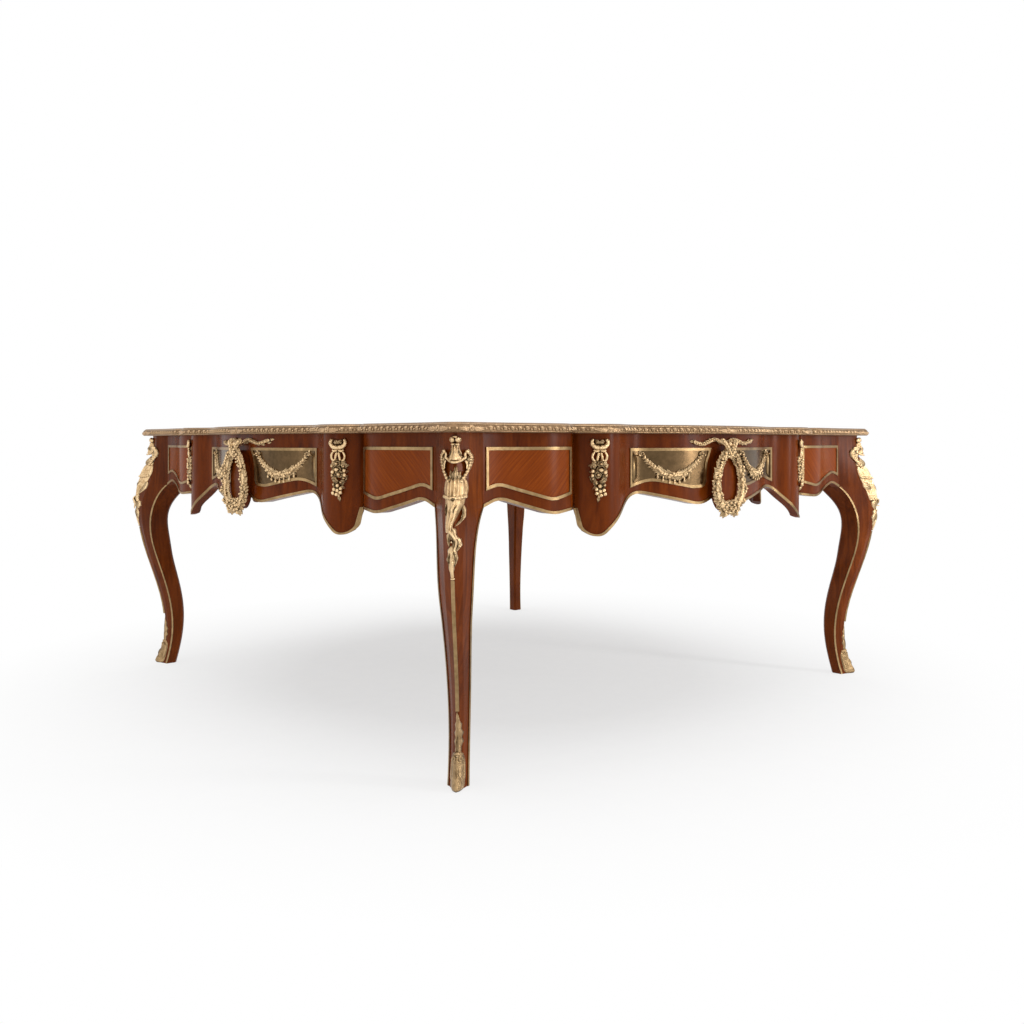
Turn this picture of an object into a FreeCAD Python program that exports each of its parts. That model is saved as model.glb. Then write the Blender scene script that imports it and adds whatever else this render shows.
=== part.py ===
import FreeCAD, Part
import math
import os
from collections import namedtuple

# Square low table on four cabriole legs, with a serpentine apron, drop lobes and gilt bronze mounts.
# The origin is on the floor under the middle of the top, +Z is up and the front side faces -Y.
# "Along" is measured along a side from its middle, "out" from the middle of the table outward.

Vector = FreeCAD.Vector
Corner = namedtuple("Corner", "a b radius", defaults=(0.0,))
LegStation = namedtuple("LegStation", "share ridge bulge arris half_width back")
MountStation = namedtuple("MountStation", "level half_width proud")

SIDES = ("front", "right", "back", "left")
LEGS = ("front_right", "back_right", "back_left", "front_left")
QUARTER_TURN = 90.0
ROOT_TWO = math.sqrt(2)

# Overall sizes
TABLE_HEIGHT = 500.0
TOP_THICKNESS = 14.0
LEG_FACE = 515.0
POST_WIDTH = 47.0
VENEER = 1.0
SHEET = 1.0

# Plan of the apron, as corners before they are rounded: along a side, and out past the leg faces
CENTRE_SHOULDER = 90.0
CENTRE_BOW = 58.0
CENTRE_RADIUS = 320.0
HOLLOW_FROM_LOBE = 87.0
HOLLOW_BOW = 19.0
HOLLOW_RADIUS = 72.0
LOBE_ALONG = 272.0
LOBE_BOW = 56.0
LOBE_RADIUS = 62.0
NOTCH_FROM_LOBE = 22.0
NOTCH_BOW = 4.0
NOTCH_RADIUS = 5.0
BLOCK_END_FROM_NOTCH = 14.0
BLOCK_END_BOW = 14.0
BLOCK_END_RADIUS = 12.0
BLOCK_FROM_NOTCH = 58.0
BLOCK_BOW = 22.0
BLOCK_RADIUS = 120.0
SWEEP_FROM_LEG = 48.0
SWEEP_RADIUS = 250.0

# Lower edge of the apron, as corners before they are rounded: distances below the underside of the top
CENTRE_ARCH_ALONG = 18.0
CENTRE_ARCH_DROP = 100.0
CENTRE_ARCH_RADIUS = 18.0
TROUGH_ALONG = 55.0
TROUGH_DROP = 116.0
TROUGH_RADIUS = 60.0
CROWN_DROP = 90.0
CROWN_RADIUS = 50.0
TIP_FROM_LOBE = 17.0
TIP_DROP = 173.0
TIP_RADIUS = 20.0
NOTCH_DROP = 112.0
BLOCK_TROUGH_DROP = 119.0
BLOCK_TROUGH_RADIUS = 70.0
BLOCK_CROWN_FROM_LEG = 28.0
BLOCK_CROWN_DROP = 93.0
BLOCK_CROWN_RADIUS = 40.0
SHOULDER_DROP = 104.0
DROP_THICKNESS = 16.0
# Bevel behind the side of a lobe that faces the leg: points out from the notch and below it
LOBE_BEVEL = ((-9.0, -22.0), (0.0, 6.0), (11.0, 34.0), (30.0, 46.0))
LOBE_BEVEL_WIDTH = 40.0

# Rails, their tenons and the glue blocks in the corners
RAIL_SETBACK = 20.0
RAIL_THICKNESS = 20.0
RAIL_DROP = 86.0
TENON_LENGTH = 12.0
TENON_THICKNESS = 10.0
TENON_SHOULDER = 16.0
TENON_SETBACK = 3.0
MORTISE_CLEARANCE = 0.15
GLUE_BLOCK_SIDE = 75.0
GLUE_BLOCK_HEIGHT = 46.0
GLUE_BLOCK_RELIEF = 0.5

# Screws that hold the top down from inside the corners
SCREW_DIAMETER = 4.0
SCREW_HEAD_DIAMETER = 8.0
SCREW_HEAD_HEIGHT = 3.0
SCREW_BITE = 9.0
SCREW_CLEARANCE = 0.2
SCREW_INSET = 20.0
SCREW_STAGGER = 15.0

# Legs: height as a share of the shoulder, then places along the diagonal from the middle of the post;
# a front face bends at its cheek, part of the way from the ridge to the side arris
RIDGE_FLAT = 5.0
BACK_FLAT = 6.0
CHEEK_SHARE = 0.35
POST_BULGE = 4.5
POST_RIDGE = ((0.0, 32.0), (36.0, 33.5), (71.0, 40.0))
SHOULDER_RIDGE = 49.5
LEG_STATIONS = (
    LegStation(0.95, 54.0, 4.0, 13.0, 29.5, -9.0),
    LegStation(0.88, 57.0, 3.0, 23.0, 26.5, 5.5),
    LegStation(0.78, 53.5, 2.5, 28.0, 24.6, 10.5),
    LegStation(0.62, 42.0, 2.0, 21.0, 20.6, 4.0),
    LegStation(0.42, 23.0, 1.5, 4.0, 16.8, -9.5),
    LegStation(0.25, 13.0, 1.0, -3.5, 14.8, -14.5),
    LegStation(0.12, 13.5, 1.0, -1.5, 14.1, -10.5),
    LegStation(0.0, 21.5, 1.0, 6.5, 14.5, -2.5),
)

# Top: overhang, edge moulding, and the inlay of its upper face
TOP_OVERHANG = 14.0
TOP_NOTCH_FROM_LOBE = 36.0
TOP_NOTCH_BOW = 5.0
TOP_NOTCH_RADIUS = 12.0
TOP_BLOCK_FROM_NOTCH = 30.0
TOP_BLOCK_BOW = 26.0
TOP_BLOCK_RADIUS = 45.0
TOP_CORNER_OVERHANG = 30.0
TOP_CORNER_RADIUS = 20.0
MOULDING_DEPTH = 11.0
MOULDING_FOOT = 2.5
MOULDING_FOOT_HEIGHT = 2.0
MOULDING_BELLY_HEIGHT = 7.0
MOULDING_NECK = 2.5
MOULDING_NECK_HEIGHT = 11.0
MOULDING_LIP = 6.5
BANDING_WIDTH = 75.0
FIELD_BOW = 40.0
FIELD_SHOULDER = 220.0
FIELD_SHOULDER_RADIUS = 300.0
FIELD_CORNER_RADIUS = 45.0
STRINGING_WIDTH = 3.0

# Brass trim, panels and panel frames of the apron
TRIM_WIDTH = 4.2
TRIM_END_WIDTH = 1.4
TRIM_PROUD = 1.4
TRIM_RETURN = 20.0
FRAME_WIDTH = 4.5
FRAME_PROUD = 1.6
WOOD_FRAME_TOP_DROP = 20.0
WOOD_FRAME_MARGIN = 5.0
WOOD_FRAME_FROM_NOTCH = 16.0
WOOD_FRAME_END_DROP = 90.0
WOOD_FRAME_LOW_DROP = 99.0
WOOD_FRAME_LOW_RADIUS = 45.0
WOOD_FRAME_HIGH_DROP = 74.0
WOOD_FRAME_HIGH_RADIUS = 35.0
WOOD_FRAME_LEG_DROP = 80.5
SHEET_FRAME_TOP_DROP = 22.5
SHEET_FRAME_PAST_HOLLOW = 7.0
SHEET_FRAME_TOP_ALONG = 30.0
SHEET_FRAME_WAIST_ALONG = 41.0
SHEET_FRAME_WAIST_DROP = 46.0
SHEET_FRAME_WAIST_RADIUS = 24.0
SHEET_FRAME_FOOT_ALONG = 45.0
SHEET_FRAME_FOOT_DROP = 86.0
SHEET_FRAME_FOOT_RADIUS = 12.0
SHEET_FRAME_LOW_ALONG = 75.0
SHEET_FRAME_LOW_DROP = 87.5
SHEET_FRAME_LOW_RADIUS = 70.0
SHEET_FRAME_HIGH_FROM_END = 40.0
SHEET_FRAME_HIGH_DROP = 73.5
SHEET_FRAME_HIGH_RADIUS = 60.0
SHEET_FRAME_END_DROP = 84.0

# Boss in the middle of a side and the wreath on it
BOSS_DROP = 77.0
BOSS_HALF_WIDTH = 28.0
BOSS_HALF_HEIGHT = 50.0
BOSS_PROUD = 10.0
BOSS_SET_IN = 4.0
WREATH_HALF_WIDTH = 45.0
WREATH_HALF_HEIGHT = 58.0
WREATH_BAND = 22.0
WREATH_BEVEL = 6.0
WREATH_WALL = 7.0
WREATH_PROUD = 15.0
WREATH_TASSEL_WIDTH = 20.0
WREATH_TASSEL_HEIGHT = 11.0
WREATH_TASSEL_DROP = 128.0
BOW_WIDTH = 22.0
BOW_HEIGHT = 10.0
BOW_DROP = 18.0
RIBBON_END_ALONG = 100.0
RIBBON_MIDDLE_ALONG = 55.0
RIBBON_WIDTH = 7.0
RIBBON_WAVE = 9.0
RIBBON_RADIUS = 14.0
RIBBON_PROUD = 4.0

# Pendants on the lobes and swags on the brass sheets
PENDANT_FROM_LOBE = 2.0
PENDANT_PROUD = 8.0
PENDANT_TOP_DROP = 6.0
PENDANT_BOW_HALF_WIDTH = 18.0
PENDANT_BOW_HALF_HEIGHT = 9.0
PENDANT_WAIST_HALF_WIDTH = 7.0
PENDANT_HALF_WIDTH = 19.0
PENDANT_SHOULDER_DROP = 42.0
PENDANT_TIP_DROP = 112.0
PENDANT_TIP_RADIUS = 4.0
SWAG_PROUD = 7.0
SWAG_INNER_ALONG = 48.0
SWAG_END_INSET = 12.0
SWAG_END_DROP = 31.0
SWAG_END_WIDTH = 6.0
SWAG_TOP_DROP = 62.0
SWAG_LOW_DROP = 75.5

# Mounts that wrap the ridge of a leg: levels are below the underside of the top, or above the floor
MOUNT_STATIONS = (
    MountStation(4.0, 6.0, 5.0),
    MountStation(11.0, 8.5, 9.0),
    MountStation(17.0, 7.0, 7.5),
    MountStation(33.0, 13.0, 10.0),
    MountStation(43.0, 9.0, 7.0),
    MountStation(66.0, 15.5, 10.0),
    MountStation(88.0, 16.0, 11.0),
    MountStation(97.0, 12.0, 10.0),
    MountStation(126.0, 7.0, 9.5),
    MountStation(143.0, 9.0, 10.5),
    MountStation(170.0, 6.0, 7.5),
    MountStation(195.0, 3.0, 4.0),
)
HANDLE_RADIUS = 3.0
HANDLE_TOP = (24.0, 10.0)
HANDLE_SIDE = (38.0, 22.0)
HANDLE_FOOT = (66.0, 12.0)
FOOT_STATIONS = (
    MountStation(0.0, 9.5, 7.0),
    MountStation(9.0, 10.0, 12.0),
    MountStation(22.0, 9.0, 6.0),
    MountStation(44.0, 8.5, 5.5),
    MountStation(56.0, 5.0, 3.2),
    MountStation(70.0, 5.5, 3.6),
    MountStation(88.0, 4.5, 3.0),
    MountStation(105.0, 2.5, 1.8),
)
MOUNT_EDGE = 2.0
MOUNT_FLANK = 0.55
MOUNT_SINK = 3.0
STRIP_PROUD = 1.2
STRIP_SINK = 0.6
RIDGE_STRIP_PROUD = 1.6
LEG_STRIP_WIDTH = 3.0

# Round pins that hold the mounts, flush with the face of each mount
PIN_DIAMETER = 2.0
PIN_BITE = 9.0
PIN_SEAM_TURN = 45.0
CORNER_MOUNT_PINNED = (6, 9)
FOOT_MOUNT_PINNED = (3,)
PENDANT_PIN_DROPS = (40.0, 86.0)
SWAG_PIN_INSET = 4.0

# Levels and places worked out from the sizes above
APRON_TOP = TABLE_HEIGHT - TOP_THICKNESS
SHOULDER = APRON_TOP - SHOULDER_DROP
LEG_JOINT = LEG_FACE - POST_WIDTH
POST_MIDDLE = (LEG_JOINT + LEG_FACE) / 2
POST_HALF_WIDTH = POST_WIDTH / ROOT_TWO
POST_BACK = LEG_JOINT + BACK_FLAT / 2 / ROOT_TWO
RAIL_FACE = LEG_FACE - RAIL_SETBACK
RAIL_BACK = RAIL_FACE - RAIL_THICKNESS
CENTRE_OUT = LEG_FACE + CENTRE_BOW
HOLLOW_ALONG = LOBE_ALONG - HOLLOW_FROM_LOBE
NOTCH_ALONG = LOBE_ALONG + NOTCH_FROM_LOBE
NOTCH_OUT = LEG_FACE + NOTCH_BOW
SHEET_END = HOLLOW_ALONG + SHEET_FRAME_PAST_HOLLOW
PENDANT_ALONG = LOBE_ALONG - PENDANT_FROM_LOBE
SWAG_END = SHEET_END - SWAG_END_INSET
BOSS_OUT = CENTRE_OUT + BOSS_PROUD
BOSS_BACK = CENTRE_OUT - BOSS_SET_IN
REACH = 2 * TABLE_HEIGHT + 2 * LEG_FACE


def direction(start, end):
    run = math.hypot(end.a - start.a, end.b - start.b)
    return (end.a - start.a) / run, (end.b - start.b) / run


def turn_at(before, corner, after):
    """Angle by which a path turns at a corner, left positive."""
    ax, ay = direction(before, corner)
    bx, by = direction(corner, after)
    return math.atan2(ax * by - ay * bx, ax * bx + ay * by)


def fitted(corners, closed=False):
    """The same corners, each radius limited to the straight runs beside it."""
    count = len(corners)
    reach = [0.0] * count
    for i in range(count) if closed else range(1, count - 1):
        turn = turn_at(corners[i - 1], corners[i], corners[(i + 1) % count])
        reach[i] = corners[i].radius * math.tan(abs(turn) / 2)
    scale = [1.0] * count
    for i in range(count if closed else count - 1):
        j = (i + 1) % count
        run = math.dist(corners[i][:2], corners[j][:2])
        if reach[i] + reach[j] > run:
            share = run / (reach[i] + reach[j])
            scale[i] = min(scale[i], share)
            scale[j] = min(scale[j], share)
    return [Corner(c.a, c.b, c.radius * s) for c, s in zip(corners, scale)]


def shifted(corners, distance, closed=False):
    """A path moved to its left by a distance, with its arcs kept concentric."""
    count = len(corners)
    moved = []
    for i, corner in enumerate(corners):
        first = i == 0 and not closed
        last = i == count - 1 and not closed
        before = None if first else direction(corners[i - 1], corner)
        after = None if last else direction(corner, corners[(i + 1) % count])
        before = before or after
        after = after or before
        spread = 1 + before[0] * after[0] + before[1] * after[1]
        a = corner.a - (before[1] + after[1]) * distance / spread
        b = corner.b + (before[0] + after[0]) * distance / spread
        radius = 0.0
        if corner.radius > 0:
            side = math.copysign(1.0, before[0] * after[1] - before[1] * after[0])
            radius = max(corner.radius - side * distance, 0.0)
        moved.append(Corner(a, b, radius))
    return moved


def rounding(before, corner, after):
    """Start, middle and end of the arc that rounds a corner."""
    ax, ay = direction(before, corner)
    bx, by = direction(corner, after)
    turn = turn_at(before, corner, after)
    reach = corner.radius * math.tan(abs(turn) / 2)
    depth = corner.radius * (1 / math.cos(turn / 2) - 1)
    inward = math.hypot(bx - ax, by - ay)
    start = (corner.a - ax * reach, corner.b - ay * reach)
    middle = (corner.a + (bx - ax) / inward * depth, corner.b + (by - ay) / inward * depth)
    end = (corner.a + bx * reach, corner.b + by * reach)
    return start, middle, end


def path_edges(corners, place, closed=False):
    """Straight edges and arcs of a rounded path, put into space by the place function."""
    count = len(corners)
    tolerance = 1e-4
    edges = []
    pen = None
    home = None
    for i, corner in enumerate(corners):
        at_end = not closed and i in (0, count - 1)
        if at_end or corner.radius == 0:
            start = middle = end = (corner.a, corner.b)
        else:
            start, middle, end = rounding(corners[i - 1], corner, corners[(i + 1) % count])
        if pen and math.dist(pen, start) > tolerance:
            edges.append(Part.makeLine(place(*pen), place(*start)))
        if start != end:
            edges.append(Part.Arc(place(*start), place(*middle), place(*end)).toShape())
        pen = end
        home = home or start
    if closed and math.dist(pen, home) > tolerance:
        edges.append(Part.makeLine(place(*pen), place(*home)))
    return edges


def face_of(edges):
    return Part.Face(Part.Wire(Part.__sortEdges__(edges)))


def on_plan(level):
    """Places an (along, out) point of the front side on a level plane."""
    return lambda along, out: Vector(along, -out, level)


def on_front(along, level):
    """Places an (along, level) point on the upright plane through the middle of the table."""
    return Vector(along, 0, level)


def both_halves(half):
    """A path from left to right, from its right half."""
    return [Corner(-c.a, c.b, c.radius) for c in reversed(half)] + list(half)


def strip_face(path, near, far, place, end_far=None):
    """The band between two distances to the left of a path, which may narrow or widen towards its ends."""
    inner = shifted(path, near)
    outer = shifted(path, far)
    if end_far is not None:
        outer[0], *_, outer[-1] = shifted(path, end_far)
    edges = path_edges(inner, place) + path_edges(outer, place)
    for end in (0, -1):
        edges.append(Part.makeLine(place(*inner[end][:2]), place(*outer[end][:2])))
    return face_of(edges)


def wall(path, near, far, low, high):
    """An upright wall that follows a plan path, between two distances outside it."""
    return strip_face(path, near, far, on_plan(low)).extrude(Vector(0, 0, high - low))


def backed_wall(path, back, low, high):
    """The body between a plan path and a straight back, closed square at its ends."""
    place = on_plan(low)
    start, end = path[0], path[-1]
    edges = path_edges(path, place)
    edges.append(Part.makeLine(place(end.a, end.b), place(end.a, back)))
    edges.append(Part.makeLine(place(end.a, back), place(start.a, back)))
    edges.append(Part.makeLine(place(start.a, back), place(start.a, start.b)))
    return face_of(edges).extrude(Vector(0, 0, high - low))


def outward(face):
    """A prism of an upright face, from the middle of the table out past the front side."""
    return face.extrude(Vector(0, -REACH, 0))


def elevation_prism(corners):
    return outward(face_of(path_edges(corners, on_front, closed=True)))


def ellipse_wire(half_width, half_height, level, out):
    centre = Vector(0, -out, level)
    tall = half_height > half_width
    upright = centre + Vector(0, 0, half_height)
    sideways = centre + Vector(half_width, 0, 0)
    ends = (upright, sideways) if tall else (sideways, upright)
    return Part.Wire([Part.Ellipse(*ends, centre).toShape()])


def oval_block(half_width, half_height, level, back, front):
    face = Part.Face(ellipse_wire(half_width, half_height, level, back))
    return face.extrude(Vector(0, back - front, 0))


def mirrored_pair(shape):
    return [shape, shape.mirror(Vector(0, 0, 0), Vector(1, 0, 0))]


def turned(shape, quarter):
    copy = shape.copy()
    copy.rotate(Vector(0, 0, 0), Vector(0, 0, 1), quarter * QUARTER_TURN)
    return copy


def solids_of(shapes):
    return [solid for shape in shapes for solid in shape.Solids]


def save(name, shapes):
    solids = solids_of(shapes)
    shape = solids[0] if len(solids) == 1 else Part.makeCompound(solids)
    shape.exportStep(f"parts/{name}.step")


def save_around(prefix, names, shapes):
    """One node for each side or leg, from the pieces of the first one."""
    for quarter, name in enumerate(names):
        save(f"{prefix}_{name}", [turned(shape, quarter) for shape in shapes])


def without(shape, tools):
    for tool in tools:
        shape = shape.cut(tool)
    return shape


def all_around(shapes):
    return [turned(shape, quarter) for quarter in range(len(SIDES)) for shape in shapes]


# Paths shared by the pieces of one side
def apron_plan():
    """Right half of the apron's outer face in plan, from the middle to the leg."""
    return [
        Corner(CENTRE_SHOULDER, CENTRE_OUT, CENTRE_RADIUS),
        Corner(HOLLOW_ALONG, LEG_FACE + HOLLOW_BOW, HOLLOW_RADIUS),
        Corner(LOBE_ALONG, LEG_FACE + LOBE_BOW, LOBE_RADIUS),
        Corner(NOTCH_ALONG, NOTCH_OUT, NOTCH_RADIUS),
        Corner(NOTCH_ALONG + BLOCK_END_FROM_NOTCH, LEG_FACE + BLOCK_END_BOW, BLOCK_END_RADIUS),
        Corner(NOTCH_ALONG + BLOCK_FROM_NOTCH, LEG_FACE + BLOCK_BOW, BLOCK_RADIUS),
        Corner(LEG_JOINT - SWEEP_FROM_LEG, LEG_FACE, SWEEP_RADIUS),
        Corner(LEG_JOINT, LEG_FACE),
    ]


PLAN_NOTCH = 3


def whole_plan():
    return fitted(both_halves(apron_plan()))


def centre_plan():
    """Outer face of the centre apron, from notch to notch."""
    ends = len(apron_plan()) - PLAN_NOTCH - 1
    return whole_plan()[ends:-ends]


def block_plan():
    """Outer face of the right end block, from the notch to the leg."""
    return whole_plan()[len(apron_plan()) + PLAN_NOTCH:]


def centre_lower_edge():
    return fitted(both_halves([
        Corner(CENTRE_ARCH_ALONG, APRON_TOP - CENTRE_ARCH_DROP, CENTRE_ARCH_RADIUS),
        Corner(TROUGH_ALONG, APRON_TOP - TROUGH_DROP, TROUGH_RADIUS),
        Corner(HOLLOW_ALONG, APRON_TOP - CROWN_DROP, CROWN_RADIUS),
        Corner(LOBE_ALONG + TIP_FROM_LOBE, APRON_TOP - TIP_DROP, TIP_RADIUS),
        Corner(NOTCH_ALONG, APRON_TOP - NOTCH_DROP),
    ]))


def block_lower_edge():
    return fitted([
        Corner(NOTCH_ALONG, APRON_TOP - NOTCH_DROP),
        Corner(NOTCH_ALONG + BLOCK_FROM_NOTCH, APRON_TOP - BLOCK_TROUGH_DROP, BLOCK_TROUGH_RADIUS),
        Corner(LEG_JOINT - BLOCK_CROWN_FROM_LEG, APRON_TOP - BLOCK_CROWN_DROP, BLOCK_CROWN_RADIUS),
        Corner(LEG_JOINT, SHOULDER),
    ])


def under_top(lower_edge):
    """Elevation of a piece of apron, from its lower edge up to the top."""
    return elevation_prism(lower_edge + [
        Corner(lower_edge[-1].a, APRON_TOP),
        Corner(lower_edge[0].a, APRON_TOP),
    ])


def wood_frame_outline():
    """Outer edge of the frame on the right end block, counter-clockwise."""
    near = NOTCH_ALONG + WOOD_FRAME_FROM_NOTCH
    far = LEG_JOINT - WOOD_FRAME_MARGIN
    return fitted([
        Corner(far, APRON_TOP - WOOD_FRAME_TOP_DROP),
        Corner(near, APRON_TOP - WOOD_FRAME_TOP_DROP),
        Corner(near, APRON_TOP - WOOD_FRAME_END_DROP),
        Corner(NOTCH_ALONG + BLOCK_FROM_NOTCH, APRON_TOP - WOOD_FRAME_LOW_DROP, WOOD_FRAME_LOW_RADIUS),
        Corner(LEG_JOINT - BLOCK_CROWN_FROM_LEG, APRON_TOP - WOOD_FRAME_HIGH_DROP, WOOD_FRAME_HIGH_RADIUS),
        Corner(far, APRON_TOP - WOOD_FRAME_LEG_DROP),
    ], closed=True)


def sheet_frame_outline():
    """Outer edge of the frame round the right brass sheet, counter-clockwise."""
    return fitted([
        Corner(SHEET_END, APRON_TOP - SHEET_FRAME_TOP_DROP),
        Corner(SHEET_FRAME_TOP_ALONG, APRON_TOP - SHEET_FRAME_TOP_DROP),
        Corner(SHEET_FRAME_WAIST_ALONG, APRON_TOP - SHEET_FRAME_WAIST_DROP, SHEET_FRAME_WAIST_RADIUS),
        Corner(SHEET_FRAME_FOOT_ALONG, APRON_TOP - SHEET_FRAME_FOOT_DROP, SHEET_FRAME_FOOT_RADIUS),
        Corner(SHEET_FRAME_LOW_ALONG, APRON_TOP - SHEET_FRAME_LOW_DROP, SHEET_FRAME_LOW_RADIUS),
        Corner(SHEET_END - SHEET_FRAME_HIGH_FROM_END, APRON_TOP - SHEET_FRAME_HIGH_DROP,
               SHEET_FRAME_HIGH_RADIUS),
        Corner(SHEET_END, APRON_TOP - SHEET_FRAME_END_DROP),
    ], closed=True)


# Apron
def boss():
    """Oval tablet that stands out from the middle of a side."""
    return oval_block(BOSS_HALF_WIDTH, BOSS_HALF_HEIGHT, APRON_TOP - BOSS_DROP, BOSS_BACK, BOSS_OUT)


def inlay(plan, outline, thickness):
    """A sheet let into a face, with its edge under the middle of its frame."""
    return wall(plan, -thickness, 0, 0, APRON_TOP).common(
        elevation_prism(shifted(outline, FRAME_WIDTH / 2, closed=True)))


def panel_frame(plan, outline):
    ring = elevation_prism(outline).cut(elevation_prism(shifted(outline, FRAME_WIDTH, closed=True)))
    return wall(plan, 0, FRAME_PROUD, 0, APRON_TOP).common(ring)


def apron_body(plan, lower_edge, crown_drop):
    """A length of apron down to its lower edge, thinned from behind where it hangs below its crown."""
    body = backed_wall(plan, RAIL_FACE, 0, APRON_TOP).common(under_top(lower_edge))
    start, *inner, end = shifted(plan, -DROP_THICKNESS)
    left_end = [Corner(plan[0].a, start.b), Corner(start.a, start.b)]
    right_end = [Corner(end.a, end.b), Corner(plan[-1].a, end.b)]
    return body.cut(backed_wall(left_end + inner + right_end, 0, 0, APRON_TOP - crown_drop))


def lobe_bevel():
    """Waste behind the right lobe's side, cut away so that its lower edge shows thin from the leg."""
    slope = [Corner(NOTCH_OUT + out, APRON_TOP - NOTCH_DROP - drop) for out, drop in LOBE_BEVEL]
    outline = [Corner(RAIL_FACE, 0), Corner(RAIL_FACE, slope[0].b)] + slope + [Corner(slope[-1].a, 0)]
    start = NOTCH_ALONG - LOBE_BEVEL_WIDTH
    edges = path_edges(outline, lambda out, level: Vector(start, -out, level), closed=True)
    return face_of(edges).extrude(Vector(LOBE_BEVEL_WIDTH, 0, 0))


def centre_apron(sheets, pins):
    body = without(apron_body(centre_plan(), centre_lower_edge(), CROWN_DROP), mirrored_pair(lobe_bevel()))
    return without(body.fuse(boss()).removeSplitter(), sheets + pins)


def end_block(panel):
    return apron_body(block_plan(), block_lower_edge(), BLOCK_CROWN_DROP).cut(panel)


def edge_trim(plan, lower_edge, end_width=None):
    """Brass edging on the face of the apron along its lower edge."""
    band = outward(strip_face(lower_edge, 0, TRIM_WIDTH, on_front, end_width))
    return wall(plan, 0, TRIM_PROUD, 0, APRON_TOP).common(band)


def side_trim():
    """Edging of one side: two halves that narrow towards the notches, and upturned lengths on the blocks."""
    middle = edge_trim(centre_plan(), centre_lower_edge(), TRIM_END_WIDTH).cut(boss())
    upturn = Corner(NOTCH_ALONG, APRON_TOP - NOTCH_DROP + TRIM_RETURN)
    return [middle] + mirrored_pair(edge_trim(block_plan(), [upturn] + block_lower_edge()))


# Rails and what joins them
def tenon(clearance):
    """Tenon on the right end of the front rail, or its mortise when it is given a clearance."""
    low = APRON_TOP - RAIL_DROP + TENON_SHOULDER - clearance
    high = APRON_TOP - TENON_SHOULDER + clearance
    front = RAIL_FACE - TENON_SETBACK + clearance
    depth = TENON_THICKNESS + 2 * clearance
    return Part.makeBox(TENON_LENGTH + clearance, depth, high - low, Vector(LEG_JOINT, -front, low))


def rail():
    body = Part.makeBox(2 * LEG_JOINT, RAIL_THICKNESS, RAIL_DROP,
                        Vector(-LEG_JOINT, -RAIL_FACE, APRON_TOP - RAIL_DROP))
    for end in mirrored_pair(tenon(0)):
        body = body.fuse(end)
    return body.removeSplitter()


def screw_places():
    """Plan places of the screws in the front right corner."""
    inner = RAIL_BACK - SCREW_INSET
    return [Vector(inner, -inner + SCREW_STAGGER, 0), Vector(inner - SCREW_STAGGER, -inner, 0)]


def screw(place, clearance):
    """Countersunk screw up through a glue block into the top, or its hole when given a clearance."""
    shank = SCREW_DIAMETER / 2 + clearance / 2
    head = SCREW_HEAD_DIAMETER / 2 + clearance / 2
    foot = APRON_TOP - GLUE_BLOCK_HEIGHT
    body = Part.makeCylinder(shank, GLUE_BLOCK_HEIGHT + SCREW_BITE + clearance, Vector(0, 0, foot))
    cone = Part.makeCone(head, shank, SCREW_HEAD_HEIGHT, Vector(0, 0, foot))
    return body.fuse(cone).removeSplitter().translated(place)


def glue_block():
    """Corner block inside two rails, relieved round the leg and drilled for its screws."""
    relief = LEG_JOINT - GLUE_BLOCK_RELIEF
    inner = RAIL_BACK - GLUE_BLOCK_SIDE
    level = APRON_TOP - GLUE_BLOCK_HEIGHT
    outline = [
        (inner, RAIL_BACK), (relief, RAIL_BACK), (relief, relief), (RAIL_BACK, relief), (RAIL_BACK, inner),
    ]
    points = [Vector(x, -y, level) for x, y in outline]
    body = Part.Face(Part.makePolygon(points + points[:1])).extrude(Vector(0, 0, GLUE_BLOCK_HEIGHT))
    return without(body, [screw(place, SCREW_CLEARANCE) for place in screw_places()])


# Legs
def leg_point(diagonal, lateral, level):
    """A point by the front right leg: along its diagonal, across it, and up."""
    shift = lateral / ROOT_TWO
    return Vector(diagonal + shift, shift - diagonal, level)


def cheek(station):
    """Place along the diagonal and across it where a front face of the leg bends."""
    along = (station.arris - station.ridge) * ROOT_TWO
    across = station.half_width - RIDGE_FLAT / 2
    run = math.hypot(along, across)
    place = station.ridge + (along * CHEEK_SHARE + across / run * station.bulge) / ROOT_TWO
    return place, RIDGE_FLAT / 2 + across * CHEEK_SHARE - along / run * station.bulge


def leg_section(station, level):
    """Section of a leg: flat ridge, a bend in each front face, two side arrises and a blunt back."""
    half = [
        (station.ridge, RIDGE_FLAT / 2),
        cheek(station),
        (station.arris, station.half_width),
        (station.back, BACK_FLAT / 2),
    ]
    outline = half + [(along, -across) for along, across in reversed(half)]
    points = [leg_point(POST_MIDDLE + along, across, level) for along, across in outline]
    return Part.makePolygon(points + points[:1])


def post_station(ridge):
    """Section of the square post between two end blocks."""
    return LegStation(1.0, ridge, POST_BULGE, 0.0, POST_HALF_WIDTH, POST_BACK - POST_MIDDLE)


def post_levels():
    upper = [(APRON_TOP - drop, post_station(ridge)) for drop, ridge in POST_RIDGE]
    return upper + [(SHOULDER, post_station(SHOULDER_RIDGE))]


def limb_levels():
    lower = [(station.share * SHOULDER, station) for station in LEG_STATIONS]
    return [(SHOULDER, post_station(SHOULDER_RIDGE))] + lower


def loft(wires, straight=False):
    return Part.makeLoft(wires, True, straight)


def leg_body():
    post = loft([leg_section(station, level) for level, station in post_levels()])
    limb = loft([leg_section(station, level) for level, station in limb_levels()])
    return post.fuse(limb)


def leg_at(level):
    """Leg section at any level, between the two stations beside it."""
    stations = post_levels() + limb_levels()[1:]
    for (above, upper), (below, lower) in zip(stations, stations[1:]):
        if below <= level <= above:
            share = (level - below) / (above - below)
            return LegStation(*[low + (high - low) * share for low, high in zip(lower, upper)])
    raise ValueError(f"no leg at level {level}")


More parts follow.
